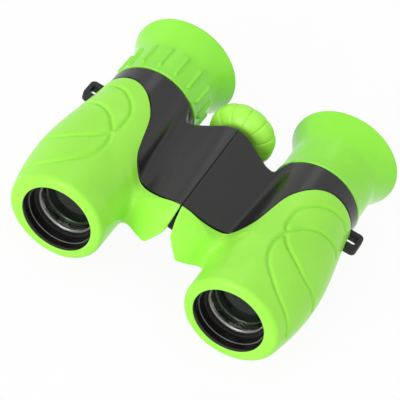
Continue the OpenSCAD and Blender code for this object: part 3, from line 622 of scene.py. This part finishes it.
def turned_grid(profile, around, x0, z0, extra=None):
    """Carries the profile around the axis through (x0, z0): radius r becomes r sin, r cos. extra
    gives a further radius for each angle and profile point."""
    angle = np.linspace(0, 2 * np.pi, around, endpoint=False)[:, None]
    r = profile[None, :, 0] + (0 * angle if extra is None else extra(angle, profile[None]))
    y = np.broadcast_to(profile[None, :, 1], r.shape)
    return np.stack([x0 + r * np.sin(angle), y, z0 + r * np.cos(angle)], 2)


# %% [markdown]
# Eyecups
#
# An eyecup is a short rubber tube that opens like a trumpet to fit around the eye. A narrow bead
# marks its base, and inside a shelf holds it on the eyepiece.

# %% Left eyecup
CUP_Y = 20.0
CUP_LENGTH = 25.0
CUP_BASE_R = 16.0
CUP_WAIST_R = 15.7
CUP_FLARE = 4.17
FLARE_FROM = 0.58
FLARE_POWER = 1.4
INNER_FROM = 0.69
BEAD_HEIGHT = 0.3
BEAD_AT = 0.025
BEAD_HALF = 0.022
WAIST_GROWS = (0.04, 0.2)
CUP_WALL = 2.8
CUP_BORE_R = 9.7
CUP_SEAT_R = 12.2
SHELF_Y = 36.4
SHELF_TOP = 37.2
OUTER_POINTS = 60
INNER_POINTS = 24


def cup_radius(share):
    """Outer radius of an eyecup: a narrow bead at the base, a waist, then a flare that grows as a
    power of the way to the rim."""
    ridge = BEAD_HEIGHT * np.exp(-((share - BEAD_AT) / BEAD_HALF) ** 2)
    waist = CUP_BASE_R + (CUP_WAIST_R - CUP_BASE_R) * smooth(share, *WAIST_GROWS)
    way = np.clip((share - FLARE_FROM) / (1 - FLARE_FROM), 0, 1)
    return waist + ridge + CUP_FLARE * way ** FLARE_POWER


def cup_profile(start):
    """Outer line from start to the rim, the rim's face, the inner flare and the shelf."""
    out = np.linspace(start, 1, OUTER_POINTS)
    back = np.linspace(1, INNER_FROM, INNER_POINTS)
    outer = np.stack([cup_radius(out), CUP_Y + CUP_LENGTH * out], 1)
    inner = np.stack([cup_radius(back) - CUP_WALL, CUP_Y + CUP_LENGTH * back], 1)
    shelf = [(CUP_BORE_R, SHELF_TOP), (CUP_BORE_R, SHELF_Y), (CUP_SEAT_R, SHELF_Y),
             (CUP_SEAT_R, CUP_Y + CUP_LENGTH * start)]
    return np.vstack([outer, inner, shelf])


left_cup = soft_profile(cup_profile(start=0), count=260, passes=4)
print("radius of the eyecup's rim:", left_cup[:, 0].max().round(2), "mm")
cup_grid = turned_grid(left_cup, around=180, x0=BARREL_X, z0=0)
left_cup_piece = make_piece("soft_eyecup_left", cup_grid, 1, "left_half", ["left_eyecup"],
                            turned=True)

# %% [markdown]
# Diopter ring
#
# The right eyepiece turns to suit the weaker eye. Its ring and its eyecup are moulded to look like
# one piece, so one surface covers both. Slim ribs on the ring give the fingers a hold: each is a
# raised band along the ring, flat on top, with slanted sides and eased ends.

# %% Diopter ring with ribs and eyecup
RIB_COUNT = 16
RIB_SIDE = (0.25, 0.75)
RIB_HEIGHT = 0.95
RIBS_START = (22.9, 23.7)
RIBS_END = (32.9, 33.9)
RIB_STEPS = 28
RING_R = 15.8
RING_START = 0.012
OUTER_WALL_R = 14.5


def ribs(angle, profile):
    """Radius added by the ribs: a flat-topped wave around the ring, faded out at both ends and on
    the inner wall."""
    beat = (angle * RIB_COUNT / (2 * np.pi)) % 1 - 0.5
    away = np.abs(beat) * 2 * np.pi * RING_R / RIB_COUNT
    band = 1 - smooth(away, *RIB_SIDE)
    along = smooth(profile[..., 1], *RIBS_START) * (1 - smooth(profile[..., 1], *RIBS_END))
    return RIB_HEIGHT * band * along * (profile[..., 0] > OUTER_WALL_R)


ring_profile = soft_profile(cup_profile(RING_START), count=200, passes=3)
ring_grid = turned_grid(ring_profile, RIB_COUNT * RIB_STEPS, x0=BARREL_X, z0=0, extra=ribs)
diopter_piece = make_piece("ribbed_diopter_eyecup", ring_grid, -1, "diopter",
                           ["diopter_ring", "right_eyecup"], turned=True)

# %% [markdown]
# Mouths of the barrels
#
# The black shell shows inside each green lip as a narrow bezel, and a small rounded edge marks the
# step where the mouth narrows; its pale colour is a painted highlight. Further in, a bright retaining
# ring with two turned ridges holds the lens, and behind the lens the edge of its seat shows through
# the glass as a fine line, a bright metal bead that is a painted highlight on the dark cell. These
# thin rings catch the light, so each gets a real rounded edge.

# %% Bezels, steps, retaining rings and seat edges
MOUTH_STEPS = 160
BEAD_POINTS = 24
bead_turn = np.linspace(0, 2 * np.pi, BEAD_POINTS, endpoint=False)
bead = np.stack([np.cos(bead_turn), np.sin(bead_turn)], 1)
bezel_line = np.array([(12.46, -44.75), (12.75, -44.75), (12.75, -43.35), (11.98, -43.35),
                       (12.05, -44.0)])
ring_line = np.array([(9.5, -36.0), (9.5, -37.3), (9.8, -37.9), (10.05, -37.55), (10.25, -38.1),
                      (10.48, -37.8), (10.48, -36.0)])
STEP_BEAD_R = 0.16
STEP_PLACE = (11.86, -41.7)
SEAT_BEAD_R = 0.15
SEAT_PLACE = (9.36, -32.42)
MOUTH_PIECES = {
    "mouth_bezel": (soft_profile(bezel_line, count=60, passes=2), "half", [], "shell_abs"),
    # The step bead's pale finish, given below, is a painted highlight.
    "mouth_step": (bead * STEP_BEAD_R + STEP_PLACE, "half", [], "shell_abs"),
    "ridged_ring": (soft_profile(ring_line, count=90, passes=3), "objective", ["objective_ring"],
                    "ring_metal"),
    # The seat edge's bright metal is a painted highlight on the dark cell's lip.
    "lens_seat_highlight_bead": (bead * SEAT_BEAD_R + SEAT_PLACE, "objective", [], "ring_metal"),
}
mouths = {}
for side, half in HALVES:
    for name, (profile, body, nodes, slot) in MOUTH_PIECES.items():
        grid = turned_grid(profile, MOUTH_STEPS, x0=BARREL_X, z0=0)
        mouths[half, name] = make_piece(half + "_" + name, grid, side, half + "_" + body,
                                        [half + "_" + node for node in nodes])

# %% [markdown]
# Focus wheel
#
# The wheel behind the bridge is soft rubber with twelve lobes. Each lobe is only a little domed and
# falls away steeply into a narrow groove at its edges. So the radius drops with the square of the
# distance from the lobe's middle, which is shallow, and with its sixteenth power, which is steep.

# %% Focus wheel with lobes
LOBES = 12
LOBE_STEPS = 32
LOBE_GROOVE = 0.55
GROOVE_POWER = 16
LOBES_FROM_R = (6.0, 8.2)
LOBE_DOME = 0.16
WHEEL_R = 11.9
WHEEL_Y = 19.0
WHEEL_LENGTH = 7.9
WIDEST_AT = 0.62
FRONT_TAPER = 0.34
FRONT_POWER = 2.2
REAR_TAPER = 0.16
HUB_R = 5.0
HUB_Y = 17.2
SCREW_R = 2.0
CAP_R = 5.36
CAP_SEAT = 1.0
TREAD_POINTS = 40


def lobes(angle, profile):
    """Radius taken off by the grooves between lobes, on the outer part of the wheel only."""
    beat = (angle * LOBES / (2 * np.pi)) % 1 - 0.5
    cut = LOBE_GROOVE * np.abs(2 * beat) ** GROOVE_POWER + LOBE_DOME * (2 * beat) ** 2
    return -cut * smooth(profile[..., 0], *LOBES_FROM_R)


def wheel_line():
    """Hub, tread and rear recess of the wheel as (radius, y). The tread is widest part of the way
    back, and draws in as a power of the way from there: 2.2 to the front and 2 to the rear."""
    share = np.linspace(0, 1, TREAD_POINTS)
    ahead = FRONT_TAPER * np.clip(1 - share / WIDEST_AT, 0, 1) ** FRONT_POWER
    behind = REAR_TAPER * np.clip(share / WIDEST_AT - 1, 0, 1) ** 2
    tread = np.stack([WHEEL_R * (1 - ahead - behind), WHEEL_Y + WHEEL_LENGTH * share], 1)
    rear = WHEEL_Y + WHEEL_LENGTH
    return np.vstack([[(SCREW_R, HUB_Y), (HUB_R, HUB_Y), (HUB_R, WHEEL_Y)], tread,
                      [(CAP_R, rear), (CAP_R, rear - CAP_SEAT), (SCREW_R, rear - CAP_SEAT)]])


wheel_profile = soft_profile(wheel_line(), count=150, passes=4)
wheel_grid = turned_grid(wheel_profile, LOBES * LOBE_STEPS, x0=0, z0=HINGE_Z, extra=lobes)
wheel_piece = make_piece("lobed_focus_wheel", wheel_grid, 1, "focus_knob", ["focus_wheel"],
                         turned=True)

# %% [markdown]
# Strap lugs
#
# A lug is a small flat plate with a slot for the strap. It is a closed loop of material around the
# slot, so one direction of its grid runs around the slot, and the other around the section of
# that loop: outer rim, top, slot wall and underside, with rounded edges.

# %% Strap lugs
LUG_Y = 12.0
LUG_HALF = 1.65
LUG_STEPS = 140
LUG_SECTION = 40
LUG_SQUARE = 0.3
CORNER_POINTS = 9


def rounded_loop(low, high, radius, count):
    """Points around a rectangle from low to high whose corners are arcs of the given radius,
    spread evenly, starting in the middle of its right side."""
    turn = np.linspace(0, np.pi / 2, CORNER_POINTS)
    arc = np.stack([np.cos(turn), np.sin(turn)], 1) * radius
    (x0, y0), (x1, y1) = low, high
    corners = np.vstack([
        [(x1, (y0 + y1) / 2)], (x1 - radius, y1 - radius) + arc,
        (x0 + radius, y1 - radius) + arc[::-1] * (-1, 1), (x0 + radius, y0 + radius) - arc,
        (x1 - radius, y0 + radius) + arc[::-1] * (1, -1), [(x1, (y0 + y1) / 2)]])
    return spread(corners, count + 1)[:-1]


def squared(wave):
    """A sine or cosine pushed towards its ends: a low power of its size, with its sign kept. Two
    of them at right angles draw a rectangle with rounded corners."""
    return np.abs(wave) ** LUG_SQUARE * np.sign(wave)


rim_loop = rounded_loop(low=(12.9, -4.1), high=(21.3, 4.0), radius=1.8, count=LUG_STEPS)
slot_loop = rounded_loop(low=(16.3, -1.7), high=(19.5, 1.7), radius=0.5, count=LUG_STEPS)
section_turn = np.linspace(0, 2 * np.pi, LUG_SECTION, endpoint=False)
mix = ((squared(np.cos(section_turn)) + 1) / 2)[None, :, None]
lug_xy = slot_loop[:, None] * (1 - mix) + rim_loop[:, None] * mix
lug_z = np.broadcast_to(LUG_HALF * squared(np.sin(section_turn)), lug_xy.shape[:2])
lug_grid = np.stack([BARREL_X + lug_xy[..., 0], LUG_Y + lug_xy[..., 1], lug_z], 2)
lugs = [
    make_piece("strap_lug_plate_" + half, lug_grid, side, half + "_half", [half + "_strap_lug"])
    for side, half in HALVES
]

# %% [markdown]
# Finishes
#
# Each finish starts from the real material and how its surface was made. Colours are written as
# sRGB hex values, the way a paint chart gives them, and one function turns them to the linear
# values that a shader wants. A pattern's scale is the number of its repeats in a metre, so it is
# worked out from a size in millimetres. One function adds a node with its settings and links.

# %% Helpers for finishes
def linear(code):
    """sRGB hex to linear RGBA: each channel c becomes ((c + 0.055) / 1.055) ** 2.4, or c / 12.92
    where it is dark."""
    c = np.array([int(code[k:k + 2], 16) for k in (1, 3, 5)]) / 255
    value = np.where(c > 0.04045, ((c + 0.055) / 1.055) ** 2.4, c / 12.92)
    return (*value.tolist(), 1.0)


def connect(tree, node, inputs):
    """Links each named input of a node to a socket, or sets it to a value."""
    for key, value in inputs.items():
        if isinstance(value, bpy.types.NodeSocket):
            tree.links.new(value, node.inputs[key])
        else:
            node.inputs[key].default_value = value


def add_node(tree, kind, inputs, ramp=(), **settings):
    """Adds a node, sets its properties and the (position, colour) stops of its ramp, and connects
    its inputs."""
    node = tree.nodes.new("ShaderNode" + kind)
    for key, value in settings.items():
        setattr(node, key, value)
    for stop, (position, code) in enumerate(ramp):
        node.color_ramp.elements[stop].position = position
        node.color_ramp.elements[stop].color = linear(code)
    connect(tree, node, inputs)
    return node


def new_finish(name):
    """An empty material with its node tree, its shader and its object coordinates."""
    finish = bpy.data.materials.new(name)
    finish.use_nodes = True
    tree = finish.node_tree
    place = add_node(tree, "TexCoord", {}).outputs["Object"]
    return finish, tree, tree.nodes["Principled BSDF"], place


def dress(pieces, finish):
    """Gives the finish to every piece."""
    for piece in pieces:
        piece.data.materials.clear()
        piece.data.materials.append(finish)
    print("pieces in " + finish.name + ":", len(pieces))


def cad(*names):
    """The frame's nodes of these names."""
    return [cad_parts[name] for name in names]


def on_both(*names):
    """The frame's nodes of these names on the left and on the right half."""
    return cad(*(half + "_" + name for _, half in HALVES for name in names))


# %% [markdown]
# Green rubber
#
# The armour is thermoplastic rubber, moulded against a finely blasted steel mould. That gives an
# even satin: a bright flat colour, a soft pale sheen where it turns away, and a grain that is
# only just there. The grain is about 0.2 mm on the real thing and is drawn at 0.35 mm, so that it
# shows at all. The eyecups are glossier and a deeper green. The wheel is a paler copy of the same
# rubber, and that paleness is painted light for its face turned up towards the lamp.

# %% Finish of moulded pieces
def moulded(name, ramp, drift, detail, grain, dullness, dents, surface):
    """Rubber or plastic whose colour drifts along a ramp over drift millimetres, in noise of the given
    detail. A grain, in millimetres too, varies the roughness between two values and dents the surface
    by a strength and a depth in millimetres. surface holds further inputs of the shader."""
    finish, tree, shader, place = new_finish(name)
    cloud = add_node(tree, "TexNoise", {
        "Vector": place, "Scale": MM_PER_METRE / drift, "Detail": detail})
    tint = add_node(tree, "ValToRGB", {"Fac": cloud.outputs["Fac"]}, ramp=ramp)
    speck = add_node(tree, "TexNoise", {
        "Vector": place, "Scale": MM_PER_METRE / grain, "Detail": 2.0}).outputs["Fac"]
    dull = add_node(tree, "MapRange", {
        "Value": speck, "To Min": dullness[0], "To Max": dullness[1]})
    dent = add_node(tree, "Bump", {
        "Height": speck, "Strength": dents[0], "Distance": dents[1] / MM_PER_METRE})
    connect(tree, shader, {
        "Base Color": tint.outputs["Color"], "Roughness": dull.outputs["Result"],
        "Normal": dent.outputs["Normal"], **surface})
    return finish


# %% Finish of the green rubber
def green_rubber(name, low, high, dullness):
    """Moulded rubber that drifts between two greens."""
    return moulded(name, ramp=[(0.3, low), (0.7, high)], drift=14, detail=3.0, grain=0.35,
                   dullness=dullness, dents=(0.12, 0.05),
                   surface={"IOR": 1.5, "Specular IOR Level": 0.3})


SATIN = (0.26, 0.34)
GLOSSY = (0.17, 0.23)
dress(armours, green_rubber("moulded_green_rubber", "#9AEA46", "#A2F24E", SATIN))
dress([left_cup_piece, diopter_piece],
      green_rubber("glossy_green_rubber", "#8FE83F", "#97F047", GLOSSY))
# The wheel's paler green is painted light for its upward face.
dress([wheel_piece], green_rubber("paler_green_rubber_painted_light", "#A7F44D", "#AFFC55", SATIN))

# %% [markdown]
# Black ABS
#
# The shell is injection-moulded ABS from a spark-eroded mould. The plastic is nearly black, and its
# satin surface shows the white surround as soft grey gradients. Its texture is about 0.15 mm and is
# drawn at 0.3 mm.

# %% Finish of the black plastic
black_abs = moulded("moulded_black_abs", ramp=[(0, "#131312"), (1, "#181816")], drift=20, detail=2.0,
                    grain=0.3, dullness=(0.2, 0.28), dents=(0.1, 0.04),
                    surface={"IOR": 1.53, "Specular IOR Level": 0.42})
bezels = [mouths[half, "mouth_bezel"] for _, half in HALVES]
dress(skins + bezels + on_both("shell", "bridge_cover") + cad("hinge_sleeve", "focus_wheel_cap"),
      black_abs)

# %% [markdown]
# Black ABS with a painted highlight
#
# Where the mouth narrows, a fine pale line runs around the edge of the plastic. It is a painted
# highlight: the same ABS, paler and smoother, with a mottle of about 1 mm that breaks the line up.

# %% Finish of the edge with the painted highlight
def painted_highlight_abs():
    """Plastic with a painted highlight: a pale colour mottled over 1 mm, and a smooth surface."""
    finish, tree, shader, place = new_finish("black_abs_painted_highlight")
    mottle = add_node(tree, "TexNoise", {"Vector": place, "Scale": MM_PER_METRE, "Detail": 2.0})
    # The pale ramp is a painted highlight on the step's edge.
    tint = add_node(tree, "ValToRGB", {"Fac": mottle.outputs["Fac"]},
                    ramp=[(0, "#3C3C39"), (1, "#8A8A84")])
    connect(tree, shader, {"Base Color": tint.outputs["Color"], "Roughness": 0.25, "IOR": 1.53})
    return finish


# The step beads get the pale finish, a painted highlight.
dress([mouths[half, "mouth_step"] for _, half in HALVES], painted_highlight_abs())

# %% [markdown]
# Textured ABS
#
# The lugs are the same plastic from a coarser mould, so they look darker and duller. Their texture
# is about 0.3 mm and is drawn at that size.

# %% Finish of the lugs
def textured_abs():
    """Dull near-black plastic with a texture in its colour and its surface."""
    finish, tree, shader, place = new_finish("textured_black_abs")
    grain = add_node(tree, "TexNoise", {
        "Vector": place, "Scale": MM_PER_METRE / 0.3, "Detail": 2.0}).outputs["Fac"]
    tint = add_node(tree, "ValToRGB", {"Fac": grain}, ramp=[(0, "#0E0E0D"), (1, "#181817")])
    dents = add_node(tree, "Bump", {
        "Height": grain, "Strength": 0.3, "Distance": 0.1 / MM_PER_METRE})
    connect(tree, shader, {
        "Base Color": tint.outputs["Color"], "Roughness": 0.5, "Normal": dents.outputs["Normal"],
        "IOR": 1.53, "Specular IOR Level": 0.35})
    return finish


dress(lugs, textured_abs())

# %% [markdown]
# Inner black
#
# Cells, tubes and spacers are glass-filled polycarbonate, left dull so that stray light dies on
# it. A mottling of 0.6 mm in its roughness and colour keeps it from looking like a hole.

# %% Finish of the inner plastic
def dull_polycarbonate():
    """Dull black plastic, mottled in roughness and colour."""
    finish, tree, shader, place = new_finish("dull_black_polycarbonate")
    grain = add_node(tree, "TexNoise", {
        "Vector": place, "Scale": MM_PER_METRE / 0.6, "Detail": 3.0}).outputs["Fac"]
    dull = add_node(tree, "MapRange", {"Value": grain, "To Min": 0.5, "To Max": 0.7})
    tint = add_node(tree, "ValToRGB", {"Fac": grain}, ramp=[(0, "#0A0B0A"), (1, "#131413")])
    connect(tree, shader, {
        "Base Color": tint.outputs["Color"], "Roughness": dull.outputs["Result"], "IOR": 1.58})
    return finish


dress(on_both("objective_cell", "prism_cage", "eyepiece_tube", "ocular_cell", "lens_spacer",
              "ocular_ring"), dull_polycarbonate())

# %% [markdown]
# Glass
#
# Objective and eyepiece lenses are crown glass with a thin anti-reflection coat that leaves a green
# cast. Bare crown glass has an IOR of 1.52; a coat works like a layer of about 1.3, which reflects
# only two parts in a hundred, so that value is used. The tint comes from the base colour: it is
# partly the coat's green cast and partly painted shade, which darkens the inside of the barrel seen
# through the lens. A trace of unevenness in the polish, drawn at 4 mm, comes from a little roughness.

# %% Finish of glass, and the lenses
def glass(name, code, grain, dullness, surface):
    """Glass of one colour whose roughness varies between two values in a grain of so many millimetres.
    surface holds further inputs of the shader."""
    finish, tree, shader, place = new_finish(name)
    haze = add_node(tree, "TexNoise", {
        "Vector": place, "Scale": MM_PER_METRE / grain, "Detail": 2.0})
    dull = add_node(tree, "MapRange", {
        "Value": haze.outputs["Fac"], "To Min": dullness[0], "To Max": dullness[1]})
    connect(tree, shader, {
        "Base Color": linear(code), "Roughness": dull.outputs["Result"], **surface})
    return finish


dress(on_both("objective_lens", "field_lens", "eye_lens"),
      # Its base colour is partly the coat's cast and partly painted shade over the barrel's inside.
      glass("crown_glass_with_painted_shade", "#B6CFB4", grain=4, dullness=(0.01, 0.03),
            surface={"Transmission Weight": 1.0, "IOR": 1.3}))

# %% [markdown]
# Prism glass
#
# The prisms are ground glass blocks with blackened sides, drawn as near-black glass. Their dark
# colour is partly those sides and partly painted shade for the unlit inside of the barrel, so seen
# through the lens they send back little light. The ground faces have a grain, drawn at 0.5 mm.

# %% Finish of the prisms
dress(on_both("half_prism", "roof_prism"),
      # The near-black colour is partly blackened sides and partly painted shade inside the barrel.
      glass("prism_glass_painted_shade", "#0B0F0C", grain=0.5, dullness=(0.4, 0.5),
            surface={"IOR": 1.57, "Specular IOR Level": 0.03}))

# %% [markdown]
# Metals
#
# The retaining rings are turned aluminium, the screws and pins steel, the nut and the bush brass.
# Turning leaves fine rings around the axis, so a ring wave around the barrel's or the hinge's axis
# varies the roughness; the small pins and cover screws share the hinge's. The pitch is about 0.1 mm
# on the real thing and is drawn at about 1.6 mm, so that it shows at all.

# %% Finishes of the metals
TURNING_PITCH = 1.5708
WAVE_RADIANS = 20
RING_CONTRAST = 0.06
HINGE_CENTRE = (0, AXIS_HEIGHT + HINGE_Z)


def turned_metal(name, code, roughness, centre):
    """Metal with turning rings around the y axis through centre, given as (x, z) in millimetres.
    The wave node runs through 20 radians a unit, so its scale is 2 pi / 20 over the pitch."""
    finish, tree, shader, place = new_finish(name)
    shift = (-centre[0] / MM_PER_METRE, 0, -centre[1] / MM_PER_METRE)
    own = add_node(tree, "Mapping", {"Vector": place, "Location": shift}).outputs["Vector"]
    scale = 2 * np.pi / WAVE_RADIANS * MM_PER_METRE / TURNING_PITCH
    rings = add_node(tree, "TexWave", {"Vector": own, "Scale": scale, "Distortion": 0.6},
                     wave_type="RINGS", rings_direction="Y")
    dull = add_node(tree, "MapRange", {
        "Value": rings.outputs["Fac"], "To Min": roughness - RING_CONTRAST,
        "To Max": roughness + RING_CONTRAST})
    connect(tree, shader, {
        "Base Color": linear(code), "Roughness": dull.outputs["Result"], "Metallic": 1.0})
    return finish


for side, half in HALVES:
    aluminium = turned_metal(half + "_turned_aluminium", "#C6C7BF", 0.22,
                             (side * BARREL_X, AXIS_HEIGHT))
    # The seat edge gets bright aluminium, a painted highlight on the dark cell's lip.
    dress([mouths[half, "ridged_ring"], mouths[half, "lens_seat_highlight_bead"]], aluminium)
dress(on_both("focus_pin", "bridge_screws") + cad("hinge_washer", "focus_screw"),
      turned_metal("turned_steel", "#9DA1A4", 0.3, HINGE_CENTRE))
dress(cad("hinge_screw"), turned_metal("black_oxide_steel", "#2A2A2B", 0.34, HINGE_CENTRE))
dress(cad("hinge_bush", "focus_nut"), turned_metal("turned_brass", "#C2A15C", 0.3, HINGE_CENTRE))

# %% [markdown]
# Floor and surround
#
# The binoculars lie on a plain white floor in a light tent, whose white surround lights them evenly.
# The floor and the surround are white to the camera, to reflections and through glass. To those
# rays the floor is a thin veil over the white surround, so that a half which is folded down past it
# still shows, and the little that is left of the paper keeps the shadow.

# %% Rays that see white
def white_rays(tree):
    """1 for rays that come from the camera, from a reflection or through glass, and 0 for the rays
    that light the pieces."""
    ray = add_node(tree, "LightPath", {}).outputs
    direct = add_node(tree, "Math", {0: ray["Is Camera Ray"], 1: ray["Is Glossy Ray"]},
                      operation="MAXIMUM")
    return add_node(tree, "Math", {0: direct.outputs[0], 1: ray["Is Transmission Ray"]},
                    operation="MAXIMUM").outputs[0]


# %% White floor
FLOOR_HALF = 3
FLOOR_WHITE = 0.94


def white_paper():
    """Matt white paper that is mostly see-through to the white rays."""
    paper = bpy.data.materials.new("white_paper")
    paper.use_nodes = True
    tree = paper.node_tree
    shader = tree.nodes["Principled BSDF"]
    connect(tree, shader, {"Base Color": linear("#F4F4F2"), "Roughness": 0.9})
    veil = add_node(tree, "Math", {0: white_rays(tree), 1: FLOOR_WHITE}, operation="MULTIPLY")
    clear = add_node(tree, "BsdfTransparent", {})
    both = add_node(tree, "MixShader", {
        0: veil.outputs[0], 1: shader.outputs["BSDF"], 2: clear.outputs["BSDF"]})
    connect(tree, tree.nodes["Material Output"], {"Surface": both.outputs["Shader"]})
    return paper


floor_mesh = bpy.data.meshes.new("floor")
floor_corners = [(x * FLOOR_HALF, y * FLOOR_HALF, 0) for x, y in ((-1, -1), (1, -1), (1, 1), (-1, 1))]
floor_mesh.from_pydata(floor_corners, [], [(0, 1, 2, 3)])
floor = bpy.data.objects.new("floor", floor_mesh)
bpy.context.scene.collection.objects.link(floor)
dress([floor], white_paper())

# %% White surround
TENT_LIGHT = 0.75
world = bpy.data.worlds.new("light_tent")
bpy.context.scene.world = world
world.use_nodes = True
tent = world.node_tree
level = add_node(tent, "MapRange", {
    "Value": white_rays(tent), "To Min": TENT_LIGHT, "To Max": 1.0})
connect(tent, tent.nodes["Background"], {
    "Strength": level.outputs["Result"], "Color": (1, 1, 1, 1)})
print("light of the tent on the pieces:", TENT_LIGHT)

# %% [markdown]
# Lamps and camera
#
# One large soft lamp above and in front gives the shapes their shade, and a small weak one behind
# adds a little light from the eyecups' side. The camera stands where the photograph was taken from:
# its place, roll and lens were found from the circles of both barrels.

# %% Soft lamps
LAMP_AIM = Vector((0, 0, 0.02))


def add_lamp(name, size, energy, place):
    """A round area lamp at a place, turned to face the binoculars."""
    light = bpy.data.lights.new(name, "AREA")
    light.shape = "DISK"
    light.size = size
    light.energy = energy
    lamp = bpy.data.objects.new(name, light)
    bpy.context.scene.collection.objects.link(lamp)
    lamp.location = place
    lamp.rotation_euler = (LAMP_AIM - lamp.location).to_track_quat("-Z", "Y").to_euler()
    print(name, "stands", round((LAMP_AIM - lamp.location).length, 2), "m away")


add_lamp("soft_lamp", size=0.7, energy=6.0, place=(-0.33, -0.93, 0.5))
add_lamp("back_lamp", size=0.3, energy=0.2, place=(-0.3, 0.68, 0.7))

# %% Camera at the photograph's place
CAMERA_PLACE = Vector((0.10206, -0.48482, 0.53461))
CAMERA_AIM = Vector((0.00106, -0.00592, 0.0197))
CAMERA_ROLL = np.radians(21.61)
CAMERA_LENS = 194.27
SENSOR_WIDTH = 36
camera_data = bpy.data.cameras.new("camera")
camera_data.sensor_width = SENSOR_WIDTH
camera_data.lens = CAMERA_LENS
camera = bpy.data.objects.new("camera", camera_data)
bpy.context.scene.collection.objects.link(camera)
look = (CAMERA_AIM - CAMERA_PLACE).to_track_quat("-Z", "Y").to_matrix().to_4x4()
roll = Matrix.Rotation(CAMERA_ROLL, 4, "Z")
camera.matrix_world = Matrix.Translation(CAMERA_PLACE) @ look @ roll
bpy.context.scene.camera = camera
bpy.context.scene.view_settings.view_transform = "Standard"
print("camera stands", round((CAMERA_AIM - CAMERA_PLACE).length, 2), "m away")
